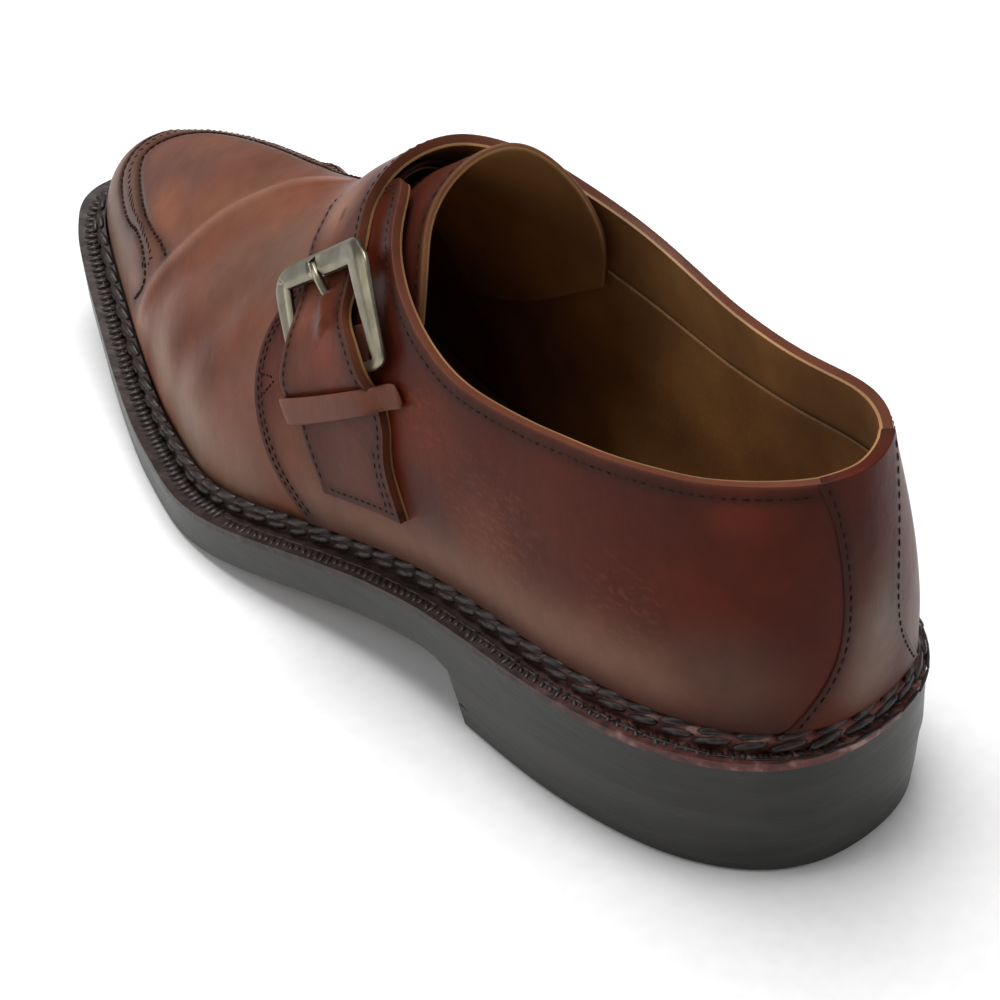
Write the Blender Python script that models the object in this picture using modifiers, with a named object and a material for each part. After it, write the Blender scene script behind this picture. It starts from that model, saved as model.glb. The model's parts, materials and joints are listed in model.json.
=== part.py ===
"""Left monk-strap shoe on a storm-welted leather sole, built as separate closed solids.

Every piece of the upper is cut from one function, on_last(), which is the outer face of the lasted
leather. The last is described by ribs: each rib springs from the feather line, where the upper meets
the welt, and climbs to the ridge, the line along the top of the foot. At the heel and at the toe the
ribs fan round the two ends of the ridge. Tables are in millimetres: Y runs from heel to toe, the
lateral side is -X, the medial side +X, and Z is the height above the floor.
"""

import math
from functools import lru_cache

import bmesh
import bpy
import numpy as np

MM = 0.001
LATERAL, MEDIAL = -1, 1

# Driving dimensions.
GAP = 0.3
OVERLAY_GAP = 0.5
UPPER_WALL = 1.6
QUARTER_LIFT = 0.7
QUARTER_THICKNESS = 1.1
TONGUE_THICKNESS = 1.8
TONGUE_GAP = 1.5
OUTSOLE_THICKNESS = 6.5
MIDSOLE_THICKNESS = 2.7
WELT_THICKNESS = 1.7
INSOLE_THICKNESS = 3.0
LIP_HEIGHT = 4.0
LIP_THICKNESS = 2.2
TOP_LIFT_HEIGHT = 6.2
HEEL_LENGTH = 85.0
HEEL_TAPER = 1.7
BREAST_RAKE = 3.0

# Levels above the tread, the underside of the outsole.
MIDSOLE_BASE = OUTSOLE_THICKNESS + GAP
WELT_BASE = MIDSOLE_BASE + MIDSOLE_THICKNESS + GAP
WELT_TOP = WELT_BASE + WELT_THICKNESS

# The two ends of the ridge, about which the heel and toe ribs fan. A rib's place "along" the shoe is
# its Y between them, and runs on by FAN each way while the rib turns through a right angle.
HEEL_POLE = 40.0
TOE_POLE = 276.0
FAN = 40.0
HEEL_BACK = HEEL_POLE - FAN
TOE_FRONT = TOE_POLE + FAN

# Feather line: the last's bottom outline. Heel and toe close as superellipses.
FEATHER = {
    "along": [40, 55, 70, 90, 110, 130, 150, 165, 180, 205, 235, 265, 276],
    "lateral": [
        -30.6, -32.8, -33.4, -33.4, -34.4, -37.2, -41.2, -43.8, -44.6, -40.6, -32.6, -22.6, -18.8
    ],
    "medial": [31.0, 30.6, 29.4, 27.2, 25.6, 25.8, 28.6, 31.8, 35.4, 39.0, 37.0, 28.0, 23.0],
}
HEEL_SQUARENESS = 2.3
HEEL_FEATHER_BACK = 5.0
TOE_SQUARENESS = 3.6
TOE_FEATHER_FRONT = 300.5
TOE_CENTRE = 2.0

# Ledge of the welt outside the feather line.
LEDGE = {
    "along": [0, 20, 40, 90, 150, 220, 276, 292, 300, 316],
    "lateral": [5.0, 6.6, 7.5, 8.4, 9.0, 9.0, 9.0, 8.8, 9.4, 9.0],
    "medial": [5.0, 4.6, 5.4, 7.0, 8.4, 9.0, 9.0, 9.0, 9.4, 9.0],
}

# Tread line: height of the outsole's underside. It lies flat under the ball and on the heel.
TREAD = {
    "y": [0, 40, 70, 90, 110, 130, 150, 170, 185, 220, 232, 250, 270, 290, 310],
    "z": [19.2, 18.6, 17.7, 15.9, 12.7, 9.2, 5.6, 2.0, 0.0, 0.0, 1.5, 5.0, 10.2, 16.0, 22.5],
}

# Ridge line: top of the last, lying a little to the medial side.
RIDGE = {
    "y": [40, 70, 100, 116, 130, 142, 162, 179, 192, 207, 225, 245, 262, 276],
    "x": [0, 0, 0, 0.5, 1.5, 2.5, 4, 5, 6, 6, 6, 5.5, 5, 4],
    "z": [132, 131, 126, 117, 108.2, 101, 88.5, 79.3, 75.3, 72.3, 70, 67.2, 63.4, 59],
}

# Ribs: how far each leans out over the feather line, how high it stays upright (share of its height)
# and how far it runs level at the ridge (share of its plan length).
RIBS = {
    "along": [0, 10, 20, 30, 40, 55, 70, 85, 100, 115, 140, 165, 190, 220, 250, 276, 300, 316],
    "lateral_lean": [4, 4, 5, 4, 4, 3, 3, 3, 3, 3, 3, 4, 4, 4, 4, 3, 2, 1.5],
    "medial_lean": [4, 4, 6, 6, 6, 5, 5, 7, 8, 8, 7, 5, 4, 3, 2, 2, 2, 1.5],
    "upright": [
        0.35, 0.33, 0.30, 0.30, 0.30, 0.30, 0.30, 0.32, 0.35,
        0.38, 0.42, 0.45, 0.50, 0.52, 0.52, 0.50, 0.50, 0.50,
    ],
    "lateral_level": [
        1.20, 1.15, 0.95, 0.72, 0.55, 0.56, 0.62, 0.74, 0.79,
        0.72, 0.48, 0.42, 0.45, 0.48, 0.50, 0.52, 0.52, 0.52,
    ],
    "medial_level": [
        1.20, 0.80, 0.45, 0.32, 0.30, 0.46, 0.74, 1.06, 1.25,
        1.10, 0.70, 0.54, 0.48, 0.48, 0.50, 0.52, 0.52, 0.52,
    ],
}

# Collar: height of the topline from the heel to the foot of the throat.
COLLAR = {
    "along": [0, 12, 20, 26, 35, 44, 57, 72, 84, 92, 100],
    "lateral": [91.5, 91.2, 90.0, 88.4, 86.4, 84.4, 82.8, 81.3, 81.2, 82.0, 85.2],
    "medial": [91.5, 90.4, 88.8, 87.6, 85.6, 84.2, 83.4, 83.6, 85.0, 86.6, 89.0],
}
# Throat: girth from the ridge down to the edge of the opening, closing at THROAT_END.
THROAT = {
    "along": [104, 108, 112, 116, 120, 124, 128, 132, 136],
    "lateral": [50, 45.5, 41, 36, 31, 25.5, 19.5, 11.5, 0],
    "medial": [47, 42.5, 37.5, 32, 26, 20, 13.5, 7, 0],
}
THROAT_END = 136.0

# Front seams of the quarters, against the girth from the ridge.
LATERAL_SEAM = {
    "girth": [9, 15, 27, 43, 50, 57, 64, 70, 78, 87, 92, 95],
    "along": [134, 146, 156, 162.6, 164.7, 164.2, 162.3, 159.9, 155, 149, 143.5, 140],
}
MEDIAL_SEAM = {"girth": [21, 36, 50, 62, 75, 83, 87], "along": [166, 162, 158, 154, 149, 145, 143]}
# Edge of the back strip, against its share of the height from the welt to the collar.
BACK_STRIP = {
    "share": [0, 0.11, 0.22, 0.33, 0.47, 0.60, 0.76, 0.87, 1],
    "along": [12.5, 8.5, 5.6, 4.0, 3.5, 3.7, 4.4, 5.3, 7.2],
}
# Rim of the tongue.
TONGUE_RIM = {
    "across": [-50, -42, -33, -25, -16, -6, 4, 14, 24, 34, 44, 54, 60],
    "along": [109, 110.5, 113.5, 117.5, 120, 119, 116.5, 115.5, 113.5, 111, 109, 108.5, 111],
}
TONGUE_FRONT = 168.0
TONGUE_TAPER = 0.2
TONGUE_ROWS = 7
TONGUE_COLUMNS = 14

# Strap: its two edges and the lift of its underside, from the medial root to the tail.
STRAP = {
    "step": [0, 1, 2, 3, 4, 5, 6, 7, 8, 9, 10, 11, 12, 13, 14, 15, 16],
    "rear_along": [
        121, 128, 133.5, 137.5, 139.5, 139, 136, 132.5, 131, 129, 125, 121, 118.5, 116, 112.5, 108.5, 103
    ],
    "rear_across": [
        24, 14, 6, -2, -10, -16.5, -22.5, -28.5, -35, -41.5, -48, -55.5, -61, -66.5, -73, -82, -95.5
    ],
    "front_along": [
        166, 169, 168, 165.5, 162, 159, 157, 154.5, 151, 148, 145.7, 145.5, 144.5, 141.5, 138.5, 135, 131
    ],
    "front_across": [
        21, 10, 1, -7, -14, -20, -25.5, -30.5, -36, -42, -48.5, -56, -61, -66, -72, -78, -85.5
    ],
    "base": [0.6, 0.6, 0.7, 1.3, 2.2, 2.2, 2.2, 2.2, 2.2, 3.4, 5.5, 5.8, 4.7, 2.4, 2.2, 2.2, 2.2],
    "thickness": [1.2, 1.6, 2, 2, 2, 2, 2, 2, 2, 2, 2, 2, 2, 2, 2, 2, 2],
}
# Sections cut between two rows of the strap's table, and points across a strip of leather.
STRAP_SECTIONS = 2
STRAP_POINTS = 5
CHAPE_SECTIONS = 3
CHAPE_POINTS = 4
# The slot in the strap for the prong, and the notch in the buckle's front bar for its tip.
PRONG_SLOT = {
    "step": [0, 1],
    "rear_along": [129.4, 134.3],
    "rear_across": [-46.8, -38.2],
    "front_along": [132.4, 137.3],
    "front_across": [-48.2, -39.6],
    "base": [1.9, 1.9],
    "thickness": [7.0, 7.0],
}
PRONG_NOTCH = {
    "step": [0, 1],
    "rear_along": [135.9, 144.4],
    "rear_across": [-37.3, -30.9],
    "front_along": [138.1, 146.6],
    "front_across": [-38.5, -32.1],
    "base": [5.8, 5.8],
    "thickness": [4.0, 4.0],
}
CHAPE = {
    "step": [0, 1],
    "rear_along": [120.5, 116],
    "rear_across": [-47, -62],
    "front_along": [141, 139.5],
    "front_across": [-47, -62],
    "base": [2.1, 2.1],
    "thickness": [0.7, 0.7],
}
# Buckle: places of the frame's four corners on its centre line.
FRAME_CORNERS = {
    "front_lateral": (127.2, -30.4),
    "front_toe": (157.6, -35.0),
    "pivot_toe": (142.5, -57.3),
    "pivot_lateral": (110.5, -57.3),
}
FRAME_SQUARENESS = 10
FRAME_POINTS = 32
# Section of a bar, as shares of half its width and half its height: its top is bevelled.
BAR_SECTION = {
    "across": [1, 1, 0.6, -0.6, -1, -1, -0.6, 0.6],
    "up": [-0.4, 0.4, 1, 1, 0.4, -0.4, -1, -1],
}
FRONT_BAR = {"width": 6.0, "base": 4.7, "top": 7.3}
PIVOT_BAR = {"width": 1.8, "base": 3.1, "top": 4.8}
PRONG_RADIUS = 0.75
PRONG = {
    "along": [128.4, 129.5, 131.5, 133.3, 135.1, 137.8, 140.8, 143.5],
    "across": [-53.0, -50.5, -46.0, -42.5, -39.8, -37.3, -34.9, -33.0],
    "lift": [4.0, 4.0, 3.9, 5.1, 6.5, 7.5, 7.5, 7.4],
}
# Keeper loop: an arch of leather over the strap, as places of its outer and inner faces.
KEEPER = {
    "outer_along": [146.8, 146.7, 145.2, 142, 130, 117, 114.4, 112.8, 111.6, 107],
    "outer_lift": [2.2, 5.8, 7.7, 8.2, 8.4, 8.2, 7.4, 4.9, 3.8, 3.4],
    "inner_along": [145.3, 145.2, 144.0, 142, 130, 117, 116.0, 114.6, 113.0, 107],
    "inner_lift": [2.2, 5.3, 6.4, 6.7, 6.9, 6.7, 6.2, 3.7, 2.2, 2.2],
}
KEEPER_TOP = -62.0
KEEPER_WIDTH = 6.2
KEEPER_SLANT = 4.5

# How far the points of a panel crowd toward its more curved end.
CROWDING = 1.25


class Curve:
    """A smooth curve through the rows of a table, which never overshoots them."""

    def __init__(self, at, values):
        self.at = np.array(at, float)
        self.values = np.array(values, float)
        step = np.diff(self.at)
        rise = np.diff(self.values) / step
        self.slope = np.concatenate([rise[:1], np.zeros(len(rise) - 1), rise[-1:]])
        for i in range(1, len(rise)):
            if rise[i - 1] * rise[i] > 0:
                before, after = 2 * step[i] + step[i - 1], step[i] + 2 * step[i - 1]
                self.slope[i] = (before + after) / (before / rise[i - 1] + after / rise[i])

    def __call__(self, place):
        place = min(max(place, self.at[0]), self.at[-1])
        i = min(int(np.searchsorted(self.at, place, side="right")) - 1, len(self.at) - 2)
        width = self.at[i + 1] - self.at[i]
        t = (place - self.at[i]) / width
        start, end = self.values[i], self.values[i + 1]
        return (
            start * (1 + 2 * t) * (1 - t) ** 2
            + end * t * t * (3 - 2 * t)
            + width * t * (1 - t) * (self.slope[i] * (1 - t) - self.slope[i + 1] * t)
        )


def curves(table):
    """One curve for each column of a table, read against its first column."""
    (_, places), *columns = table.items()
    return {name: Curve(places, values) for name, values in columns}


feather_width = curves(FEATHER)
ledge_width = curves(LEDGE)
tread = curves(TREAD)["z"]
ridge = curves(RIDGE)
rib_shape = curves(RIBS)
collar_height = curves(COLLAR)
throat_girth = curves(THROAT)


def side_name(side):
    return "lateral" if side == LATERAL else "medial"


@lru_cache(maxsize=None)
def feather_plan(side, along):
    """Plan position of the feather line at one place along one side."""
    width = feather_width[side_name(side)]
    if along < HEEL_POLE:
        angle = math.radians(90 * (along - HEEL_BACK) / FAN)
        depth = HEEL_POLE - HEEL_FEATHER_BACK
        reach = abs(math.sin(angle)) ** (2 / HEEL_SQUARENESS)
        y = HEEL_POLE - depth * math.cos(angle) ** (2 / HEEL_SQUARENESS)
        taper = (width(HEEL_POLE + 10) - width(HEEL_POLE)) / 10
        return np.array([(width(HEEL_POLE) + taper * (y - HEEL_POLE)) * reach, y])
    if along > TOE_POLE:
        angle = math.radians(90 * (along - TOE_POLE) / FAN)
        depth = TOE_FEATHER_FRONT - TOE_POLE
        y = TOE_POLE + depth * math.sin(angle) ** (2 / TOE_SQUARENESS)
        reach = max(math.cos(angle), 0) ** (2 / TOE_SQUARENESS)
        taper = (width(TOE_POLE) - width(TOE_POLE - 20)) / 20
        edge = width(TOE_POLE) + taper * (y - TOE_POLE) - TOE_CENTRE
        return np.array([TOE_CENTRE + edge * reach, y])
    return np.array([width(along), along])


@lru_cache(maxsize=None)
def feather_outward(side, along):
    """Plan direction square to the feather line, pointing out of the shoe."""
    if along in (HEEL_BACK, TOE_FRONT):
        return np.array([0.0, -1.0 if along == HEEL_BACK else 1.0])
    reach = 0.5
    ahead = feather_plan(side, min(along + reach, TOE_FRONT))
    behind = feather_plan(side, max(along - reach, HEEL_BACK))
    run = (ahead - behind) / np.linalg.norm(ahead - behind)
    return side * np.array([run[1], -run[0]])


def outline(side, along, out):
    """Plan position at a distance outside the feather line, on a side of the shoe."""
    return feather_plan(side, along) + out * feather_outward(side, along)


def sole_edge(side, along, inset=0.0):
    """Plan position on the edge of the sole, or inside it."""
    return outline(side, along, ledge_width[side_name(side)](along) - inset)


@lru_cache(maxsize=None)
def rib(side, along):
    """Points up one rib from the feather line to the ridge, with their girth from the ridge."""
    foot = feather_plan(side, along)
    out = feather_outward(side, along)
    pole = min(max(along, HEEL_POLE), TOE_POLE)
    top = np.array([ridge["x"](pole), pole, ridge["z"](pole)])
    base = np.array([foot[0], foot[1], tread(foot[1]) + WELT_BASE])
    inward = top[:2] - foot
    reach = np.linalg.norm(inward)
    inward = inward / reach
    slope = (ridge["z"](min(pole + 1, TOE_POLE)) - ridge["z"](max(pole - 1, HEEL_POLE))) / (
        min(pole + 1, TOE_POLE) - max(pole - 1, HEEL_POLE)
    )
    height = top[2] - base[2]
    lean = rib_shape[side_name(side) + "_lean"](along)
    low = base + np.array([*(lean * out), rib_shape["upright"](along) * height])
    level = rib_shape[side_name(side) + "_level"](along) * reach
    high = top - level * np.array([inward[0], inward[1], slope * inward[1]])
    t = np.linspace(0, 1, 61)[:, None]
    points = (
        (1 - t) ** 3 * base + 3 * t * (1 - t) ** 2 * low + 3 * t * t * (1 - t) * high + t**3 * top
    )
    lengths = np.linalg.norm(np.diff(points, axis=0), axis=1)
    from_ridge = np.concatenate([np.cumsum(lengths[::-1])[::-1], [0.0]])
    return points, from_ridge


def girth(side, along):
    """Length of a rib, from the ridge down to the feather line."""
    return rib(side, along)[1][0]


def rib_point(along, across):
    """Point on the lasted leather; across is the girth from the ridge, minus on the lateral side."""
    points, from_ridge = rib(MEDIAL if across > 0 else LATERAL, along)
    place = min(abs(across), from_ridge[0])
    return np.array([np.interp(place, from_ridge[::-1], points[::-1, i]) for i in range(3)])


def on_last(along, across, lift=0.0):
    """Point at a height over the lasted leather, measured square to it."""
    point = rib_point(along, across)
    if lift == 0.0:
        return point
    step = 0.8
    side = MEDIAL if across > 0 else LATERAL
    limit = girth(side, along) - step
    middle = max(-limit, min(limit, across))
    up_run = rib_point(along, middle + step) - rib_point(along, middle - step)
    ahead, behind = min(along + step, TOE_FRONT), max(along - step, HEEL_BACK)
    if along in (HEEL_BACK, TOE_FRONT):
        forward = np.array([side if along == HEEL_BACK else -side, 0, 0])
    else:
        forward = rib_point(ahead, middle) - rib_point(behind, middle)
    square = np.cross(up_run, forward)
    return point + lift * square / np.linalg.norm(square)


def opening_edge(side, along):
    """Girth from the ridge down to the edge of the collar or throat; nought where it is closed."""
    last_row = COLLAR["along"][-1]
    if along >= THROAT_END:
        return 0.0
    if along > last_row:
        first = THROAT["along"][0]
        if along < first:
            share = (along - last_row) / (first - last_row)
            start, end = opening_edge(side, last_row), throat_girth[side_name(side)](first)
            return start + share * (end - start)
        return throat_girth[side_name(side)](along)
    points, from_ridge = rib(side, along)
    below_top = points[:, 2] < points[-1, 2]
    return np.interp(collar_height[side_name(side)](along), points[below_top, 2], from_ridge[below_top])


def spread(start, end, count):
    """Evenly spaced places from start to end, both included."""
    return [start + (end - start) * i / count for i in range(count + 1)]


def crowd(start, end, count):
    """Places from start to end, closer together toward the end, where the leather curves more."""
    return [start + (end - start) * (1 - (1 - i / count) ** CROWDING) for i in range(count + 1)]


def make_material(name, colour, roughness, metallic=0.0):
    material = bpy.data.materials.new(name)
    material.use_nodes = True
    shader = material.node_tree.nodes["Principled BSDF"]
    shader.inputs["Base Color"].default_value = (*colour, 1.0)
    shader.inputs["Roughness"].default_value = roughness
    shader.inputs["Metallic"].default_value = metallic
    return material


def add_object(name, bm, material, collection):
    """Turn a bmesh in millimetres into an object in metres."""
    bmesh.ops.scale(bm, vec=(MM, MM, MM), verts=bm.verts)
    mesh = bpy.data.meshes.new(name)
    bm.to_mesh(mesh)
    bm.free()
    mesh.materials.append(material)
    mesh.shade_smooth()
    mesh.set_sharp_from_angle(angle=math.radians(35))
    piece = bpy.data.objects.new(name, mesh)
    collection.objects.link(piece)
    return piece


def add_grid(bm, rows):
    """Quads over a grid of points; its faces look toward (next point) x (next row)."""
    verts = [[bm.verts.new(point) for point in row] for row in rows]
    for near, far in zip(verts, verts[1:]):
        for j in range(len(near) - 1):
            bm.faces.new([near[j], near[j + 1], far[j + 1], far[j]])
    return verts


def weld(bm):
    bmesh.ops.remove_doubles(bm, verts=bm.verts, dist=0.01)


def solidify(piece, thickness, outward):
    shell = piece.modifiers.new("wall", "SOLIDIFY")
    shell.thickness = thickness * MM
    shell.offset = 1.0 if outward else -1.0
    shell.use_even_offset = True
    shell.use_quality_normals = True
    return shell


def add_sheet(name, rows, thickness, material, collection):
    """Leather cut from the last: a grid of points given a thickness outward."""
    bm = bmesh.new()
    add_grid(bm, rows)
    weld(bm)
    piece = add_object(name, bm, material, collection)
    solidify(piece, thickness, outward=True)
    return piece


def add_loft(name, sections, material, collection, ring=False):
    """A solid through closed sections with equal numbers of points; the ends are capped."""
    bm = bmesh.new()
    verts = [[bm.verts.new(point) for point in section] for section in sections]
    pairs = list(zip(verts, verts[1:] + verts[:1])) if ring else list(zip(verts, verts[1:]))
    for near, far in pairs:
        for j in range(len(near)):
            after = (j + 1) % len(near)
            bm.faces.new([near[j], near[after], far[after], far[j]])
    if not ring:
        bm.faces.new(verts[0][::-1])
        bm.faces.new(verts[-1])
    weld(bm)
    bmesh.ops.dissolve_degenerate(bm, dist=0.001, edges=bm.edges)
    bmesh.ops.recalc_face_normals(bm, faces=bm.faces)
    return add_object(name, bm, material, collection)


# Runs of sections along the shoe: where each run ends, and its steps.
RUNS = {
    "end": [HEEL_POLE, 104, THROAT_END, 185, 220, TOE_POLE, TOE_FRONT],
    "steps": [6, 8, 7, 5, 4, 7, 8],
}


def section_places():
    places = [HEEL_BACK]
    for end, steps in zip(RUNS["end"], RUNS["steps"]):
        places += spread(places[-1], end, steps)[1:]
    return places


PLACES = section_places()


def plate_sections(places, profile, place_edge=sole_edge):
    """Sections across a sole layer. A profile row is an inset, and a height worked out from Y."""
    sections = []
    for along in places:
        lateral, medial = [], []
        for inset, height in profile:
            for side, half in ((LATERAL, lateral), (MEDIAL, medial)):
                x, y = place_edge(side, along, inset)
                half.append((x, y, height(y)))
        sections.append(lateral + medial[::-1])
    return sections


def above_tread(level):
    return lambda y: tread(y) + level


def make_outsole(material, collection):
    profile = [
        (1.0, above_tread(0)),
        (0, above_tread(1.0)),
        (0, above_tread(OUTSOLE_THICKNESS - 0.4)),
        (0.4, above_tread(OUTSOLE_THICKNESS)),
    ]
    return add_loft("outsole", plate_sections(PLACES, profile), material, collection)


def make_midsole(material, collection):
    top = MIDSOLE_BASE + MIDSOLE_THICKNESS
    profile = [
        (0.4, above_tread(MIDSOLE_BASE)),
        (0, above_tread(MIDSOLE_BASE + 0.6)),
        (0, above_tread(top - 0.6)),
        (0.4, above_tread(top)),
    ]
    return add_loft("midsole", plate_sections(PLACES, profile), material, collection)


def heel_sections(bottom, top, rounding):
    """Sections of a heel layer; the heel narrows and its breast slopes back toward the floor."""
    seat = tread(HEEL_LENGTH)

    def inset_at(height):
        return HEEL_TAPER * (1 - height / seat)

    places = [p for p in PLACES if p < HEEL_LENGTH - 2] + [HEEL_LENGTH]
    sections = plate_sections(
        places,
        [
            (inset_at(bottom(0)) + rounding, bottom),
            (inset_at(bottom(0)), lambda y: bottom(y) + rounding),
            (inset_at(top(0)), top),
        ],
    )
    sections[-1] = [(x, y - BREAST_RAKE * (1 - z / seat), z) for x, y, z in sections[-1]]
    return sections


def make_heel(material, collection):
    sections = heel_sections(lambda y: TOP_LIFT_HEIGHT + GAP, lambda y: tread(y) - GAP, 0.3)
    return add_loft("heel", sections, material, collection)


def make_top_lift(material, collection):
    sections = heel_sections(lambda y: 0.0, lambda y: TOP_LIFT_HEIGHT, 0.8)
    return add_loft("top_lift", sections, material, collection)


def make_welt(material, collection):
    """The storm welt: a flat ledge round the shoe with a lip that stands up against the upper."""
    lip_top = WELT_THICKNESS + LIP_HEIGHT

    def section(side, along):
        length = girth(side, along)
        inner = on_last(along, side * length, OVERLAY_GAP)
        foot = on_last(along, side * (length - WELT_THICKNESS), OVERLAY_GAP + LIP_THICKNESS)
        outer_low = sole_edge(side, along, 0.3)
        outer = sole_edge(side, along)
        return [
            (inner[0], inner[1], tread(inner[1]) + WELT_BASE),
            (*outer_low, tread(outer_low[1]) + WELT_BASE),
            (*outer, tread(outer[1]) + WELT_BASE + 0.5),
            (*outer, tread(outer[1]) + WELT_TOP),
            (foot[0], foot[1], tread(foot[1]) + WELT_TOP),
            on_last(along, side * (length - lip_top + 0.5), OVERLAY_GAP + LIP_THICKNESS),
            on_last(along, side * (length - lip_top), OVERLAY_GAP + 0.6 * LIP_THICKNESS),
            on_last(along, side * (length - lip_top), OVERLAY_GAP),
        ]

    lateral = [section(LATERAL, along) for along in PLACES]
    medial = [section(MEDIAL, along) for along in PLACES[1:-1]]
    return add_loft("welt", lateral + medial[::-1], material, collection, ring=True)


def make_insole(material, collection):
    def inside_wall(side, along, inset):
        return outline(side, along, -UPPER_WALL - inset)

    base = WELT_BASE + 0.3
    profile = [(0.8, above_tread(base)), (0.8, above_tread(base + INSOLE_THICKNESS))]
    sections = plate_sections(PLACES, profile, inside_wall)
    return add_loft("insole", sections, material, collection)


UPPER_ROWS = 11


def make_upper(material, collection):
    """The lasted upper: one wall from the feather line to the collar, closed over the forefoot."""
    bm = bmesh.new()
    for side in (LATERAL, MEDIAL):
        rows = []
        for along in PLACES:
            low, high = side * girth(side, along), side * opening_edge(side, along)
            row = [on_last(along, across) for across in crowd(low, high, UPPER_ROWS)]
            rows.append(row if side == LATERAL else row[::-1])
        add_grid(bm, rows)
    weld(bm)
    bmesh.ops.dissolve_degenerate(bm, dist=0.001, edges=bm.edges)
    piece = add_object("upper", bm, material, collection)
    solidify(piece, UPPER_WALL, outward=False)
    return piece


# The quarters end above the welt's lip.
PANEL_FOOT = WELT_THICKNESS + LIP_HEIGHT + 0.5
PANEL_ROWS = 11
PANEL_COLUMNS = 17
strip_edge = curves(BACK_STRIP)["along"]


def panel_girth(side, share, along, top_girth):
    """Girth from the ridge at a share of the way from the welt up to a panel's top edge."""
    foot = girth(side, along) - PANEL_FOOT
    return foot + share * (top_girth(along) - foot)


def make_quarter(side, seam_table, top_girth, material, collection):
    """A quarter: columns run from the back strip to its front seam, fanning to follow the seam."""
    seam = curves(seam_table)["along"]
    seam_foot = seam_table["along"][-1]
    foot, top = girth(side, seam_foot) - PANEL_FOOT, seam_table["girth"][0]
    rows = []
    for part in crowd(1, 0, PANEL_COLUMNS)[::-1]:
        row = []
        for share in crowd(0, 1, PANEL_ROWS):
            rear = strip_edge(share) + OVERLAY_GAP
            along = rear + part * (seam(foot + share * (top - foot)) - rear)
            across = panel_girth(side, share, along, top_girth)
            row.append(on_last(along, side * across, QUARTER_LIFT))
        rows.append(row if side == LATERAL else row[::-1])
    name = "quarter_" + side_name(side)
    return add_sheet(name, rows, QUARTER_THICKNESS, material, collection)


def lateral_top(along):
    """Top edge of the lateral quarter: the collar and throat, then the tip under the strap."""
    return max(opening_edge(LATERAL, along), LATERAL_SEAM["girth"][0])


def medial_top(along):
    """Top edge of the medial quarter: the collar, then the root of the strap."""
    root = STRAP["rear_along"][0]
    if along <= root:
        return opening_edge(MEDIAL, along)
    share = (along - root) / (STRAP["front_along"][0] - root)
    edge = STRAP["rear_across"][0]
    return edge + share * (STRAP["front_across"][0] - edge) + OVERLAY_GAP


def make_back_strip(material, collection):
    rows = []
    for side, parts in ((MEDIAL, (1, 0.5)), (LATERAL, (0, 0.5, 1))):
        for part in parts:
            row = []
            for share in crowd(0, 1, PANEL_ROWS):
                along = part * strip_edge(share)
                across = panel_girth(side, share, along, lambda place: opening_edge(side, place))
                row.append(on_last(along, side * across, QUARTER_LIFT))
            rows.append(row)
    return add_sheet("back_strip", rows, QUARTER_THICKNESS + 0.3, material, collection)


def make_tongue(material, collection):
    rim = curves(TONGUE_RIM)["along"]
    first, last = TONGUE_RIM["across"][0], TONGUE_RIM["across"][-1]
    under = -(UPPER_WALL + TONGUE_GAP + TONGUE_THICKNESS)
    rows = []
    for share in spread(0, 1, TONGUE_ROWS):
        row = []
        for across in spread(first, last, TONGUE_COLUMNS):
            along = rim(across) + share * (TONGUE_FRONT - rim(across))
            row.append(on_last(along, across * (1 - TONGUE_TAPER * share), under))
        rows.append(row)
    return add_sheet("tongue", rows, TONGUE_THICKNESS, material, collection)


def add_strip(name, table, sections_each, across_count, material, collection):
    """A strip of leather laid over the last, from a table of its two edges."""
    shape = curves(table)
    sections = []
    last_step = table["step"][-1]
    for step in spread(0, last_step, sections_each * last_step):
        rear = np.array([shape["rear_along"](step), shape["rear_across"](step)])
        front = np.array([shape["front_along"](step), shape["front_across"](step)])
        places = [rear + share * (front - rear) for share in spread(0, 1, across_count)]
        base, thickness = shape["base"](step), shape["thickness"](step)
        under = [on_last(*place, base) for place in places]
        over = [on_last(*place, base + thickness) for place in places]
        sections.append(under + over[::-1])
    return add_loft(name, sections, material, collection)


def cut(piece, cutter):
    cutter.hide_render = True
    cutter.display_type = "WIRE"
    boolean = piece.modifiers.new("cut", "BOOLEAN")
    boolean.operation = "DIFFERENCE"
    boolean.object = cutter


def frame_place(u, v):
    """Place on the buckle: u runs from the heel end to the toe end, v from pivot to front bar."""
    corner = {name: np.array(place) for name, place in FRAME_CORNERS.items()}
    pivot = corner["pivot_lateral"] + (u + 1) / 2 * (corner["pivot_toe"] - corner["pivot_lateral"])
    front = corner["front_lateral"] + (u + 1) / 2 * (corner["front_toe"] - corner["front_lateral"])
    return pivot + (v + 1) / 2 * (front - pivot)


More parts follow.
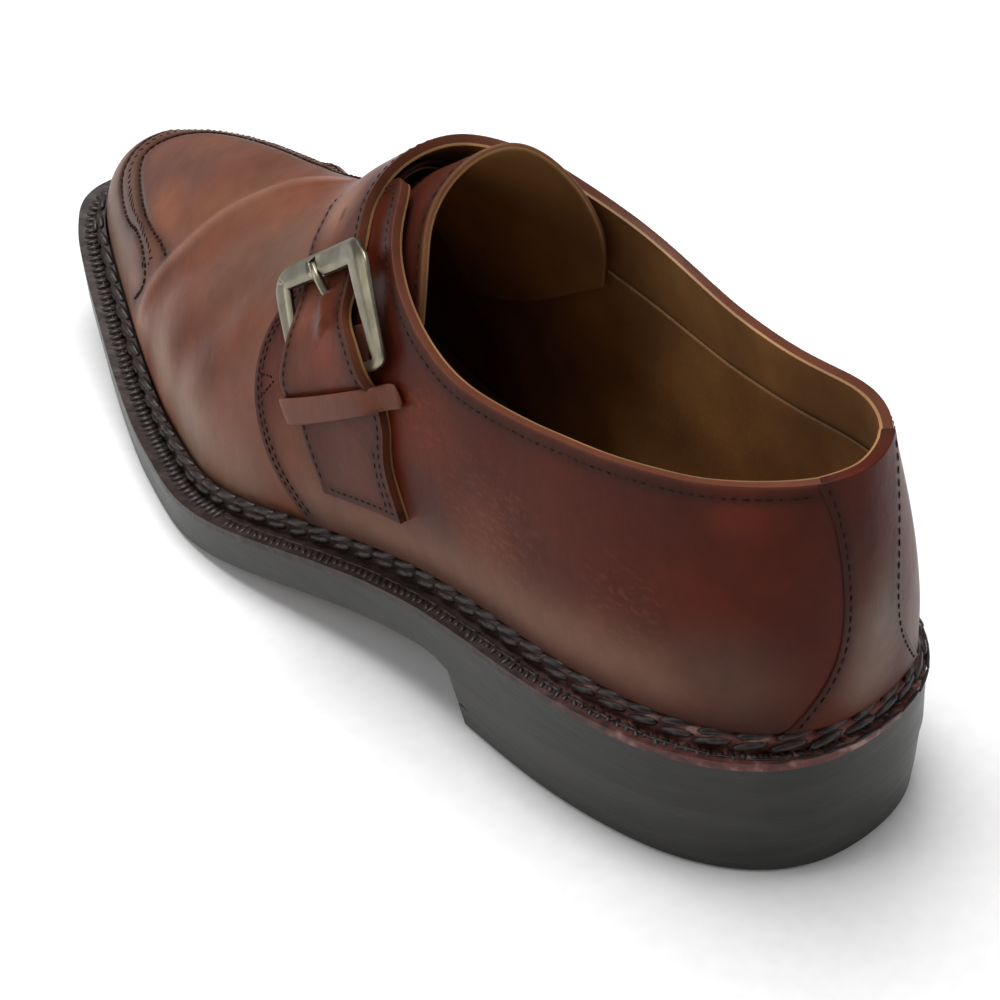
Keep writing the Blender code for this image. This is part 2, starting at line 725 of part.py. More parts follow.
def make_buckle_frame(material, collection):
    """A closed ring of metal: broad front bar, arms that taper, and a thin pivot bar."""
    power = 2 / FRAME_SQUARENESS
    centres, lifted, sizes = [], [], []
    for i in range(FRAME_POINTS):
        angle = 2 * math.pi * (i + 0.5) / FRAME_POINTS
        u = math.copysign(abs(math.cos(angle)) ** power, math.cos(angle))
        v = math.copysign(abs(math.sin(angle)) ** power, math.sin(angle))
        share = (v + 1) / 2
        base = PIVOT_BAR["base"] + share * (FRONT_BAR["base"] - PIVOT_BAR["base"])
        top = PIVOT_BAR["top"] + share * (FRONT_BAR["top"] - PIVOT_BAR["top"])
        width = PIVOT_BAR["width"] + share**0.35 * (FRONT_BAR["width"] - PIVOT_BAR["width"])
        along, across = frame_place(u, v)
        centres.append(on_last(along, across, (base + top) / 2))
        lifted.append(on_last(along, across, (base + top) / 2 + 1))
        sizes.append((width / 2, (top - base) / 2))
    sections = []
    for i, (half_width, half_height) in enumerate(sizes):
        square = lifted[i] - centres[i]
        run = centres[(i + 1) % FRAME_POINTS] - centres[i - 1]
        side = np.cross(run, square)
        side = side / np.linalg.norm(side)
        sections.append(
            [
                centres[i] + x * half_width * side + y * half_height * square
                for x, y in zip(BAR_SECTION["across"], BAR_SECTION["up"])
            ]
        )
    return add_loft("buckle_frame", sections, material, collection, ring=True)


def make_prong(material, collection):
    curve = bpy.data.curves.new("buckle_prong", "CURVE")
    curve.dimensions = "3D"
    curve.bevel_depth = PRONG_RADIUS * MM
    curve.bevel_resolution = 2
    curve.use_fill_caps = True
    spline = curve.splines.new("POLY")
    places = list(zip(PRONG["along"], PRONG["across"], PRONG["lift"]))
    spline.points.add(len(places) - 1)
    for point, place in zip(spline.points, places):
        point.co = (*(on_last(*place) * MM), 1.0)
    curve.materials.append(material)
    prong = bpy.data.objects.new("buckle_prong", curve)
    collection.objects.link(prong)
    return prong


def make_keeper(material, collection):
    places = zip(*(KEEPER[key] for key in ("outer_along", "outer_lift", "inner_along", "inner_lift")))
    low = KEEPER_TOP - KEEPER_WIDTH
    sections = [
        [
            on_last(outer, KEEPER_TOP, outer_lift),
            on_last(outer - KEEPER_SLANT, low, outer_lift),
            on_last(inner - KEEPER_SLANT, low, inner_lift),
            on_last(inner, KEEPER_TOP, inner_lift),
        ]
        for outer, outer_lift, inner, inner_lift in places
    ]
    return add_loft("keeper_loop", sections, material, collection)


def stand_on_origin(pieces, cutters):
    """Put the origin on the floor, under the centre of the shoe's bounding box."""
    solids = [piece for piece in pieces if piece.type == "MESH"]
    points = np.array([vert.co for solid in solids for vert in solid.data.vertices])
    centre = (points.min(axis=0) + points.max(axis=0)) / 2
    for piece in pieces + cutters:
        piece.location = (-centre[0], -centre[1], 0)


def clear_scene():
    for leftover in list(bpy.data.objects):
        bpy.data.objects.remove(leftover)


def main():
    clear_scene()
    shoe = bpy.data.collections.new("monk_strap_shoe")
    bpy.context.scene.collection.children.link(shoe)
    cutters = bpy.data.collections.new("cutters")
    bpy.context.scene.collection.children.link(cutters)
    upper_leather = make_material("upper_leather", (0.155, 0.042, 0.020), 0.35)
    edge_black = make_material("sole_edge", (0.045, 0.040, 0.036), 0.5)
    welt_leather = make_material("welt_leather", (0.040, 0.020, 0.016), 0.5)
    lining = make_material("lining", (0.150, 0.070, 0.028), 0.6)
    nickel = make_material("brushed_nickel", (0.42, 0.40, 0.33), 0.35, metallic=1.0)
    make_outsole(edge_black, shoe)
    make_heel(edge_black, shoe)
    make_top_lift(edge_black, shoe)
    make_midsole(welt_leather, shoe)
    make_welt(welt_leather, shoe)
    make_insole(lining, shoe)
    make_upper(upper_leather, shoe)
    make_quarter(LATERAL, LATERAL_SEAM, lateral_top, upper_leather, shoe)
    make_quarter(MEDIAL, MEDIAL_SEAM, medial_top, upper_leather, shoe)
    make_back_strip(upper_leather, shoe)
    make_tongue(upper_leather, shoe)
    strap = add_strip("strap", STRAP, STRAP_SECTIONS, STRAP_POINTS, upper_leather, shoe)
    cut(strap, add_strip("prong_slot", PRONG_SLOT, 1, 1, upper_leather, cutters))
    add_strip("buckle_chape", CHAPE, CHAPE_SECTIONS, CHAPE_POINTS, upper_leather, shoe)
    frame = make_buckle_frame(nickel, shoe)
    cut(frame, add_strip("prong_notch", PRONG_NOTCH, 1, 1, nickel, cutters))
    make_prong(nickel, shoe)
    make_keeper(upper_leather, shoe)
    stand_on_origin(list(shoe.objects), list(cutters.objects))


main()
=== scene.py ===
"""Left monk-strap shoe on a storm-welted leather sole: the finish of every piece.

The shoe is dressed in the order in which it is made: sole and heel, sock and lining, vamp, welt and
braid, tongue, quarters, strap and buckle. Places are in millimetres in the frame of the solids: Y
runs from heel to toe, the lateral side is -X, the medial side +X, and the floor is at Z = 0.
"""

import json
import math
import random

import bmesh
import bpy
from mathutils import Matrix, Vector
from mathutils.bvhtree import BVHTree
from mathutils.kdtree import KDTree

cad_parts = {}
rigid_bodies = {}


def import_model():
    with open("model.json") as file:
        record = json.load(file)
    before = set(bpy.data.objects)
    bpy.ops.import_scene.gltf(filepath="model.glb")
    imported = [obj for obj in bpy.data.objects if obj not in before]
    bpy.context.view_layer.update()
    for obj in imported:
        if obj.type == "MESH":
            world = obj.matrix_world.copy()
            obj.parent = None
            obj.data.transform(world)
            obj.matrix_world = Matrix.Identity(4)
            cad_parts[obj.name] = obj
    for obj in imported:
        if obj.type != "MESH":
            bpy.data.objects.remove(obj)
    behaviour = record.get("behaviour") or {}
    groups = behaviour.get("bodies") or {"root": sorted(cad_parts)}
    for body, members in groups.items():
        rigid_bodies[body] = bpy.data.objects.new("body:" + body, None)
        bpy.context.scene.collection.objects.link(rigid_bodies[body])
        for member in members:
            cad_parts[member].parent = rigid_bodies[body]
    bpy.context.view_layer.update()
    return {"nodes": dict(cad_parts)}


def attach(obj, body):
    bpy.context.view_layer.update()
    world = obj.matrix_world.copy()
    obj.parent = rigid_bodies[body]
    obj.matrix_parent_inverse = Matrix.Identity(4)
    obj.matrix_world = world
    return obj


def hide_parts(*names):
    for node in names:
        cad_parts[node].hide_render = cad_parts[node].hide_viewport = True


# The new file's own cube, lamp and camera go first.
for leftover in list(bpy.data.objects):
    bpy.data.objects.remove(leftover)
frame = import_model()
MM = 0.001


# --- Sole and heel ---------------------------------------------------------------------------
# Leather outsole and midsole on a stacked leather heel with a rubber top lift. The layers are
# glued, nailed and trimmed flush, and their edge is inked black and burnished with wax, so that
# only hairlines part them. The undersides are bare: stained leather, and rubber at the heel.


def srgb(value):
    """A hex colour as linear red, green, blue and alpha."""
    parts = [int(value[i : i + 2], 16) / 255 for i in (0, 2, 4)]
    linear = [p / 12.92 if p <= 0.04045 else ((p + 0.055) / 1.055) ** 2.4 for p in parts]
    return (*linear, 1.0)


def set_inputs(tree, node, inputs):
    """Sets the inputs of a node: each is a value, or the output that feeds it."""
    for name, value in inputs.items():
        if isinstance(value, bpy.types.NodeSocket):
            tree.links.new(value, node.inputs[name])
        else:
            node.inputs[name].default_value = value


def add_node(tree, kind, inputs, stops=(), **settings):
    """A shader node with its settings and inputs, and its colour stops if it is a ramp."""
    node = tree.nodes.new("ShaderNode" + kind)
    for name, value in settings.items():
        setattr(node, name, value)
    set_inputs(tree, node, inputs)
    for count, (position, colour) in enumerate(stops):
        elements = node.color_ramp.elements
        element = elements[count] if count < 2 else elements.new(position)
        element.position = position
        element.color = srgb(colour)
    return node


def new_material(name):
    """A material, its node tree, its shader and the object coordinates for its patterns."""
    material = bpy.data.materials.new(name)
    material.use_nodes = True
    tree = material.node_tree
    place = add_node(tree, "TexCoord", {}).outputs["Object"]
    return material, tree, tree.nodes["Principled BSDF"], place


# Inked and waxed sole edge: near black with a grey bloom of wax, smoothed by the edge iron, so its
# sheen is soft and streaked along the edge.
edge_ink, tree, shader, place = new_material("waxed_edge_ink")
streak = add_node(tree, "Mapping", {"Vector": place, "Scale": (1, 1, 5)}).outputs["Vector"]
bloom = add_node(tree, "TexNoise", {"Vector": streak, "Scale": 1 / 0.022, "Detail": 4}).outputs["Fac"]
grain = add_node(tree, "TexNoise", {"Vector": streak, "Scale": 1 / 0.003, "Detail": 2}).outputs["Fac"]
inks = [(0.3, "1a1917"), (0.72, "2e2d29"), (0.5, "23221f")]
ink = add_node(tree, "ValToRGB", {"Fac": bloom}, stops=inks).outputs["Color"]
gloss = add_node(tree, "MapRange", {"Value": bloom, "To Min": 0.3, "To Max": 0.5}).outputs["Result"]
relief = add_node(tree, "Bump", {"Height": bloom, "Distance": 0.25 * MM}).outputs["Normal"]
relief = add_node(tree, "Bump", {"Height": grain, "Distance": 0.05 * MM, "Normal": relief})
relief = relief.outputs["Normal"]
set_inputs(
    tree, shader, {"Base Color": ink, "Roughness": gloss, "Specular IOR Level": 0.32, "Normal": relief}
)

# Oak-bark sole leather, stained dark and scuffed by the ground: brown worn through to tan in
# patches, dull, with short scratches.
sole_leather, tree, shader, place = new_material("stained_sole_leather")
wear = add_node(tree, "TexNoise", {"Vector": place, "Scale": 1 / 0.02, "Detail": 5}).outputs["Fac"]
browns = [(0.35, "2c211b"), (0.8, "6b5138"), (0.55, "45342a")]
brown = add_node(tree, "ValToRGB", {"Fac": wear}, stops=browns).outputs["Color"]
relief = add_node(tree, "Bump", {"Height": wear, "Distance": 0.3 * MM}).outputs["Normal"]
set_inputs(tree, shader, {"Base Color": brown, "Roughness": 0.7, "Normal": relief})

# Moulded rubber top lift: black, matt, greyed with dust where it meets the ground.
rubber, tree, shader, place = new_material("moulded_rubber")
dust = add_node(tree, "TexNoise", {"Vector": place, "Scale": 1 / 0.012, "Detail": 6}).outputs["Fac"]
blacks = [(0.4, "1f1e1d"), (0.75, "4a4744")]
black = add_node(tree, "ValToRGB", {"Fac": dust}, stops=blacks).outputs["Color"]
relief = add_node(tree, "Bump", {"Height": dust, "Distance": 0.15 * MM}).outputs["Normal"]
set_inputs(tree, shader, {"Base Color": black, "Roughness": 0.75, "Normal": relief})


def cad_copy(node):
    """A welded copy of a CAD node's mesh, its triangles joined to quads."""
    bm = bmesh.new()
    bm.from_mesh(frame["nodes"][node].data)
    bmesh.ops.remove_doubles(bm, verts=bm.verts, dist=0.01 * MM)
    bmesh.ops.join_triangles(
        bm,
        faces=bm.faces,
        angle_face_threshold=math.radians(30),
        angle_shape_threshold=math.radians(180),
    )
    return bm


def point_tree(points):
    """A tree that finds the nearest of these points."""
    tree = KDTree(len(points))
    for index, point in enumerate(points):
        tree.insert(point, index)
    tree.balance()
    return tree


def square_off(bm, ends):
    """Trims a layer flush at its "top" or "bottom": its small chamfers go out to its wall, and its
    face meets the next layer. At its "heel", the outsole's underside is sunk into the heel."""
    chamfer, overlap, heel_overlap = 1.8 * MM, 0.16 * MM, 2.5 * MM
    heel_breast, heel_face = -66 * MM, -73 * MM
    wall = [v for v in bm.verts if any(abs(face.normal.z) < 0.35 for face in v.link_faces)]
    tree = point_tree([vert.co for vert in wall])
    for vert in set(bm.verts) - set(wall):
        place, _, distance = tree.find(vert.co)
        end = "top" if vert.co.z > place.z else "bottom"
        over_heel = end == "bottom" and "heel" in ends and vert.co.y < heel_breast
        if distance < chamfer and (end in ends or over_heel):
            vert.co.xy = place.xy
    for vert in bm.verts:
        over_heel = "heel" in ends and vert.co.y < heel_face
        if ("bottom" in ends or over_heel) and any(face.normal.z < -0.8 for face in vert.link_faces):
            vert.co.z -= heel_overlap if over_heel else overlap
        elif "top" in ends and any(face.normal.z > 0.8 for face in vert.link_faces):
            vert.co.z += overlap
    bm.normal_update()


def crease_folds(bm, angle, sharpness=1.0):
    """Keeps the edges that fold more than this many degrees sharp under subdivision."""
    crease = bm.edges.layers.float.new("crease_edge")
    for edge in bm.edges:
        if edge.is_manifold and edge.calc_face_angle() > math.radians(angle):
            edge[crease] = sharpness
            edge.smooth = sharpness < 1.0


def add_wall(skin, thickness, inner):
    """Thickens a skin inwards, along normals that are evened near its rim, so the edge runs true.
    The cut edge of a lined skin shows leather, then a thin line of the inner material."""
    lining_edge = 0.6
    skin.normal_update()
    normals = {vert: vert.normal.copy() for vert in skin.verts}
    near = {vert for vert in skin.verts if vert.is_boundary}
    for _ in range(8):
        near |= {edge.other_vert(vert) for vert in near for edge in vert.link_edges}
    for _ in range(25):
        evened = {}
        for vert in near:
            evened[vert] = sum((normals[e.other_vert(vert)] for e in vert.link_edges), normals[vert])
        normals.update((vert, normal.normalized()) for vert, normal in evened.items())
    open_edges = [edge for edge in skin.edges if edge.is_boundary]
    whole = skin.verts[:] + skin.edges[:] + skin.faces[:]
    twins = bmesh.ops.duplicate(skin, geom=whole)
    behind = twins["vert_map"]
    back_faces = [part for part in twins["geom"] if isinstance(part, bmesh.types.BMFace)]
    for vert, normal in normals.items():
        behind[vert].co = vert.co - normal * thickness * MM
    bmesh.ops.reverse_faces(skin, faces=back_faces)
    for face in back_faces:
        face.material_index = inner
    leather = thickness - lining_edge if thickness > 1 else thickness
    halfway = {}
    for vert in dict.fromkeys(vert for edge in open_edges for vert in edge.verts):
        place = vert.co - normals[vert] * leather * MM
        halfway[vert] = skin.verts.new(place, vert) if leather < thickness else behind[vert]
    for edge in open_edges:
        loop = edge.link_loops[0]
        a, b = loop.vert, loop.link_loop_next.vert
        strips = [(0, (b, a, halfway[a], halfway[b]))]
        if leather < thickness:
            strips.append((inner, (halfway[b], halfway[a], behind[a], behind[b])))
        for index, corners in strips:
            side = skin.faces.new(corners)
            side.material_index = index
            side.smooth = True


def finish_piece(name, bm, materials, replaced=(), wall=0.0, rounding=0.0, levels=0):
    """Makes a piece of a bmesh: a wall behind its faces, rounded edges, then subdivision."""
    if wall:
        add_wall(bm, wall, len(materials) - 1)
    mesh = bpy.data.meshes.new(name)
    bm.to_mesh(mesh)
    bm.free()
    for material in materials:
        mesh.materials.append(material)
    mesh.shade_smooth()
    piece = bpy.data.objects.new(name, mesh)
    bpy.context.scene.collection.objects.link(piece)
    if rounding:
        bevel = piece.modifiers.new("rounding", "BEVEL")
        bevel.width = rounding * MM
        bevel.segments = 3
        bevel.limit_method = "ANGLE"
        bevel.angle_limit = math.radians(42)
    if levels:
        subdivision = piece.modifiers.new("subdivision", "SUBSURF")
        subdivision.levels = levels
        subdivision.render_levels = levels
    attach(piece, "root")
    if replaced:
        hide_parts(*replaced)
    return piece


for node, ends, underside in (
    ("top_lift", ("top",), rubber),
    ("heel", ("top", "bottom"), sole_leather),
    ("outsole", ("top", "heel"), sole_leather),
    ("midsole", ("top", "bottom"), sole_leather),
):
    bm = cad_copy(node)
    square_off(bm, ends)
    if node == "heel":
        # Its top edge is drawn in, under the outsole.
        for vert in bm.verts:
            if any(face.normal.z > 0.8 for face in vert.link_faces):
                vert.co.xy -= vert.normal.xy.normalized() * 0.3 * MM
    crease_folds(bm, 25)
    for face in bm.faces:
        face.material_index = 1 if face.normal.z < -0.8 else 0
    finish_piece(node + "_edge", bm, [edge_ink, underside], [node], levels=2)


# --- Sock and lining -------------------------------------------------------------------------
# Vegetable-tanned calf lines the whole shoe and covers the insole. It is pasted inside the upper
# and closed to it at the topline, and it has gone golden brown and darker where the foot rubs.

# Undyed lining leather: golden tan, cloudy with age, dull, with a fine even grain.
lining_calf, tree, shader, place = new_material("vegetable_tanned_lining")
age = add_node(tree, "TexNoise", {"Vector": place, "Scale": 1 / 0.03, "Detail": 4}).outputs["Fac"]
grain = add_node(tree, "TexNoise", {"Vector": place, "Scale": 1 / 0.0011, "Detail": 2}).outputs["Fac"]
tans = [(0.3, "6b4a2a"), (0.75, "a87c48"), (0.52, "8a6238")]
tan = add_node(tree, "ValToRGB", {"Fac": age}, stops=tans).outputs["Color"]
relief = add_node(tree, "Bump", {"Height": age, "Distance": 0.4 * MM}).outputs["Normal"]
relief = add_node(tree, "Bump", {"Height": grain, "Distance": 0.08 * MM, "Normal": relief})
set_inputs(tree, shader, {"Base Color": tan, "Roughness": 0.62, "Normal": relief.outputs["Normal"]})

bm = cad_copy("insole")
crease_folds(bm, 25)
finish_piece("sock", bm, [lining_calf], ["insole"], levels=2)


def patches(bm, fold=48):
    """The smooth patches of a mesh, parted at its folds, the largest first."""
    seen, found = set(), []
    for first in bm.faces:
        if first in seen:
            continue
        seen.add(first)
        stack, patch = [first], []
        while stack:
            face = stack.pop()
            patch.append(face)
            for edge in face.edges:
                if not edge.is_manifold or edge.calc_face_angle() >= math.radians(fold):
                    continue
                for other in edge.link_faces:
                    if other not in seen:
                        seen.add(other)
                        stack.append(other)
        found.append(patch)
    return sorted(found, key=lambda patch: -sum(face.calc_area() for face in patch))


def keep_faces(bm, faces):
    """Leaves only these faces, and closes any single triangle missing among them."""
    keep = set(faces)
    bmesh.ops.delete(bm, geom=[face for face in bm.faces if face not in keep], context="FACES")
    bmesh.ops.holes_fill(bm, edges=[edge for edge in bm.edges if edge.is_boundary], sides=3)


def smoothed(bm, levels):
    """The mesh after Catmull-Clark subdivision, as a new bmesh."""
    mesh = bpy.data.meshes.new("skin")
    bm.to_mesh(mesh)
    bm.free()
    skin = bpy.data.objects.new("skin", mesh)
    bpy.context.scene.collection.objects.link(skin)
    subdivision = skin.modifiers.new("subdivision", "SUBSURF")
    subdivision.levels = levels
    subdivision.boundary_smooth = "PRESERVE_CORNERS"
    fine = bmesh.new()
    fine.from_object(skin, bpy.context.evaluated_depsgraph_get())
    bpy.data.objects.remove(skin)
    bpy.data.meshes.remove(mesh)
    fine.normal_update()
    return fine


def rim_loop(skin, start):
    """The whole rim of a skin that passes nearest to a place, as a closed line."""
    start = Vector(start) * MM
    start = min((v for v in skin.verts if v.is_boundary), key=lambda v: (v.co - start).length)
    edge = next(e for e in start.link_edges if e.is_boundary)
    loop, vert = [start.co.copy()], edge.other_vert(start)
    while vert is not start:
        loop.append(vert.co.copy())
        edge = next(e for e in vert.link_edges if e.is_boundary and e is not edge)
        vert = edge.other_vert(vert)
    return loop + [start.co.copy()]


def trim(skin, line, depths):
    """Cuts a skin back from its rim, by a depth in millimetres for each point, and evens the rim."""
    tree = point_tree(line)
    near_rim = (max(depths) + 9) * MM
    cut = []
    for face in skin.faces:
        _, index, distance = tree.find(face.calc_center_median())
        if distance < depths[index] * MM:
            cut.append(face)
    while cut:
        bmesh.ops.delete(skin, geom=cut, context="FACES")
        cut = [f for f in skin.faces if sum(edge.is_boundary for edge in f.edges) > 1]
        cut = [f for f in cut if tree.find(f.calc_center_median())[2] < (max(depths) + 6) * MM]
    near = [vert for vert in skin.verts if tree.find(vert.co)[2] < near_rim]
    rim = [vert for vert in near if vert.is_boundary]
    for _ in range(30):
        places = {}
        for vert in rim:
            beside_it = [edge.other_vert(vert).co for edge in vert.link_edges if edge.is_boundary]
            places[vert] = vert.co.lerp(sum(beside_it, Vector()) / len(beside_it), 0.5)
        for vert, place in places.items():
            vert.co = place
    bmesh.ops.smooth_vert(
        skin,
        verts=[vert for vert in near if not vert.is_boundary],
        factor=0.5,
        use_axis_x=True,
        use_axis_y=True,
        use_axis_z=True,
    )
    skin.normal_update()


bm = cad_copy("upper")
keep_faces(bm, patches(bm)[1])
lining = smoothed(bm, 3)
collar = rim_loop(lining, (0, -148, 92))
# It ends just below the topline, and well below it at the throat, where the tongue takes over.
trim(lining, collar, [2.2 + 13 * max(0.0, min(1.0, (point.y / MM + 62) / 30)) for point in collar])
piece = finish_piece("lining", lining, [lining_calf], wall=0.5)
thinning = piece.modifiers.new("thinning", "DECIMATE")
thinning.ratio = 0.85


# --- Vamp ------------------------------------------------------------------------------------
# One piece of full-grain calf, lasted over the forefoot and pulled under the welt. It is dyed and
# burnished by hand, darker at its edges, and walking has set soft creases across the instep.

# Burnished calf: chestnut dye laid on in clouds, together with painted sheen, reflections, highlights
# and shade, all held in one colour attribute, over a fine tight grain; old cream polish gives a soft
# gloss, broken up where the leather is scuffed.
calf, tree, shader, place = new_material("burnished_calf")
patina_and_painted_light = add_node(tree, "Attribute", {}, attribute_name="patina_and_painted_light").outputs["Color"]
scuffed = add_node(tree, "Attribute", {}, attribute_name="scuffs").outputs["Fac"]
cloud = add_node(tree, "TexNoise", {"Vector": place, "Scale": 1 / 0.024, "Detail": 4}).outputs["Fac"]
fleck = add_node(tree, "TexNoise", {"Vector": place, "Scale": 1 / 0.0045, "Detail": 3}).outputs["Fac"]
grain = add_node(tree, "TexNoise", {"Vector": place, "Scale": 1 / 0.0009, "Detail": 2}).outputs["Fac"]
brushed = add_node(tree, "Mapping", {"Vector": place, "Scale": (1, 0.45, 1)}).outputs["Vector"]
scratch = add_node(tree, "TexNoise", {"Vector": brushed, "Scale": 1 / 0.0011, "Detail": 4}).outputs["Fac"]
noise_range = {"From Min": 0.3, "From Max": 0.7}
mottle = {"Value": cloud, **noise_range, "To Min": 0.84, "To Max": 1.16}
mottle = add_node(tree, "MapRange", mottle).outputs["Result"]
speckle = {"Value": fleck, **noise_range, "To Min": 0.93, "To Max": 1.07}
speckle = add_node(tree, "MapRange", speckle).outputs["Result"]
shade = add_node(tree, "Math", {0: mottle, 1: speckle}, operation="MULTIPLY").outputs["Value"]
dyed_with_painted_light = add_node(tree, "VectorMath", {0: patina_and_painted_light, "Scale": shade}, operation="SCALE").outputs["Vector"]
rubbed = {"Value": scratch, "From Min": 0.52, "From Max": 0.74, "To Min": 0, "To Max": 0.42}
rubbed = add_node(tree, "MapRange", rubbed).outputs["Result"]
rubbed = add_node(tree, "Math", {0: rubbed, 1: scuffed}, operation="MULTIPLY").outputs["Value"]
worn = {"Fac": rubbed, "Color1": dyed_with_painted_light, "Color2": srgb("94614c")}
gloss = {"Value": cloud, **noise_range, "To Min": 0.33, "To Max": 0.43}
gloss = add_node(tree, "MapRange", gloss).outputs["Result"]
relief = add_node(tree, "Bump", {"Height": cloud, "Distance": 0.5 * MM}).outputs["Normal"]
relief = add_node(tree, "Bump", {"Height": fleck, "Distance": 0.12 * MM, "Normal": relief})
relief = relief.outputs["Normal"]
relief = add_node(tree, "Bump", {"Height": grain, "Distance": 0.035 * MM, "Normal": relief})
set_inputs(
    tree,
    shader,
    {
        "Base Color": add_node(tree, "MixRGB", worn).outputs["Color"],
        "Roughness": add_node(tree, "Math", {0: gloss, 1: rubbed}, operation="ADD").outputs["Value"],
        "IOR": 1.46,
        "Specular IOR Level": 0.09,
        "Coat Weight": 0.02,
        "Coat Roughness": 0.16,
        "Normal": relief.outputs["Normal"],
    },
)

# Waxed linen thread, dyed dark brown: matt, fine and hairy.
thread, tree, shader, place = new_material("waxed_linen_thread")
twist = add_node(tree, "TexNoise", {"Vector": place, "Scale": 1 / 0.0012, "Detail": 2}).outputs["Fac"]
threads = [(0.35, "1c0f0a"), (0.7, "45291d")]
dark = add_node(tree, "ValToRGB", {"Fac": twist}, stops=threads).outputs["Color"]
relief = add_node(tree, "Bump", {"Height": twist, "Distance": 0.1 * MM}).outputs["Normal"]
set_inputs(
    tree, shader, {"Base Color": dark, "Roughness": 0.7, "Specular IOR Level": 0.03, "Normal": relief}
)


def even(line, step):
    """Points at even steps, in millimetres, along a line of points."""
    points, left = [line[0].copy()], step * MM
    for a, b in zip(line, line[1:]):
        length = (b - a).length
        done = 0.0
        while length - done >= left:
            done += left
            points.append(a.lerp(b, done / length))
            left = step * MM
        left -= length - done
    return points


def laid(tree, places):
    """A soft line by way of given points, laid on a skin."""
    line = [Vector(place) * MM for place in places]
    for _ in range(3):
        cut = [line[0]]
        for a, b in zip(line, line[1:]):
            cut += [a.lerp(b, 0.25), a.lerp(b, 0.75)]
        line = cut + [line[-1]]
    return [tree.find_nearest(point)[0] for point in even(line, 1.0)]


def rim_line(skin, start, via, end):
    """The part of a skin's rim from one place to another that passes by a third."""
    rim = [vert for vert in skin.verts if vert.is_boundary]
    start, via, end = (Vector(place) * MM for place in (start, via, end))
    first = min(rim, key=lambda vert: (vert.co - start).length)
    last = min(rim, key=lambda vert: (vert.co - end).length)
    ways = []
    for edge in first.link_edges:
        if not edge.is_boundary:
            continue
        way, vert = [first], edge.other_vert(first)
        while vert not in (first, last):
            way.append(vert)
            edge = next(e for e in vert.link_edges if e.is_boundary and e is not edge)
            vert = edge.other_vert(vert)
        ways.append(way + [vert])
    return min(ways, key=lambda way: min((vert.co - via).length for vert in way))


def rim_points(skin, start, via, end):
    """The places of the vertices on such a part of the rim."""
    return [vert.co.copy() for vert in rim_line(skin, start, via, end)]


def beside(tree, line, distance):
    """A line moved in over the skin by a distance in millimetres, and laid on it."""
    points, moved = even(line, 0.8), []
    for count, point in enumerate(points):
        along = points[min(count + 3, len(points) - 1)] - points[max(count - 3, 0)]
        side = tree.find_nearest(point)[1].cross(along).normalized() * distance * MM
        sides = [tree.find_nearest(point + way * side) + (point + way * side,) for way in (1, -1)]
        moved.append(min(sides, key=lambda found: (found[0] - found[4]).length)[0])
    return moved


def press(skin, line, height, width):
    """Raises or sinks a skin along a line, in a soft fold that fades at both ends."""
    tree = point_tree(line)
    for vert in skin.verts:
        _, index, distance = tree.find(vert.co)
        if distance < 2.4 * width * MM:
            share = index / (len(line) - 1)
            fade = min(1.0, 5 * share + 0.15, 5 * (1 - share) + 0.15)
            fold = math.exp(-((distance / (width * MM)) ** 2))
            vert.co += vert.normal * height * MM * fade * fold


def dye_and_paint_light(skin, ground, clouds=(), strokes=(), seams=(), scuffs=()):
    """Colours a skin: a ground, then clouds, each a place, a radius, a tint and its strength, then
    strokes, each a line, a half width, a tint and its strength. Besides dye, the clouds and strokes
    paint in sheen, reflections, highlights and shade. Its seams are burnished darker, and each scuff
    is a place, a radius and a strength."""
    patina_and_painted_light = skin.verts.layers.float_color.new("patina_and_painted_light")
    scuffed = skin.verts.layers.float.new("scuffs")
    ground, burnish = Vector(srgb(ground)), Vector(srgb("24120d"))
    seam_points = [point for line in seams for point in line]
    clouds = [(Vector(p) * MM, size * MM, Vector(srgb(tint)), part) for p, size, tint, part in clouds]
    marks = [(line, width, Vector(srgb(tint)), part) for line, width, tint, part in strokes]
    marks += [(seam_points, 4.5, burnish, 0.2), (seam_points, 1.3, burnish, 0.6)] if seams else []
    trees = [point_tree(line) for line, *_ in marks]
    for vert in skin.verts:
        colour = ground
        for place, size, tint, part in clouds:
            share = (vert.co - place).length / size
            if share < 1:
                colour = colour.lerp(tint, part * (1 - share * share) ** 2)
        for tree, (_, width, tint, part) in zip(trees, marks):
            share = tree.find(vert.co)[2] / (width * MM)
            if share < 3:
                colour = colour.lerp(tint, part * math.exp(-share * share))
        vert[patina_and_painted_light] = colour
        for place, size, part in scuffs:
            share = (vert.co - Vector(place) * MM).length / (size * MM)
            if share < 1:
                vert[scuffed] = max(vert[scuffed], part * (1 - share * share))


def sew(name, rows, material, pitch, length, width, slant=0, across=False, sink=0.1, rough=0.0):
    """Rows of stitches: a small bead of thread at every pitch, lying along its row or across it.
    Sizes are in millimetres; rough is how far a hand lets the slant and the length stray."""
    bm, chance = bmesh.new(), random.Random(3)
    for tree, line in rows:
        points = even(line, pitch)
        if (line[0] - line[-1]).length < 1.5 * MM:
            points = [points[-1]] + points + [points[0]]
        for count in range(1, len(points) - 1):
            place, normal, *_ = tree.find_nearest(points[count])
            along = (points[count + 1] - points[count - 1]).normalized()
            side = normal.cross(along).normalized()
            along = side.cross(normal)
            if across:
                along, side = side, -along
            lean = slant + rough * chance.uniform(-60, 60)
            along = Matrix.Rotation(math.radians(lean), 3, normal) @ along
            side = normal.cross(along)
            stretch = 1 + rough * chance.uniform(-0.9, 0.9)
            size = (width / 2, width / 2.2, stretch * length / 2)
            axes = [axis * part * MM for axis, part in zip((side, normal, along), size)]
            turn = Matrix(axes).transposed().to_4x4()
            turn.translation = place + normal * (width / 2.2 - sink - width * 0.35) * MM
            bmesh.ops.create_uvsphere(bm, u_segments=6, v_segments=4, radius=1, matrix=turn)
    bmesh.ops.recalc_face_normals(bm, faces=bm.faces)
    finish_piece(name, bm, [material])


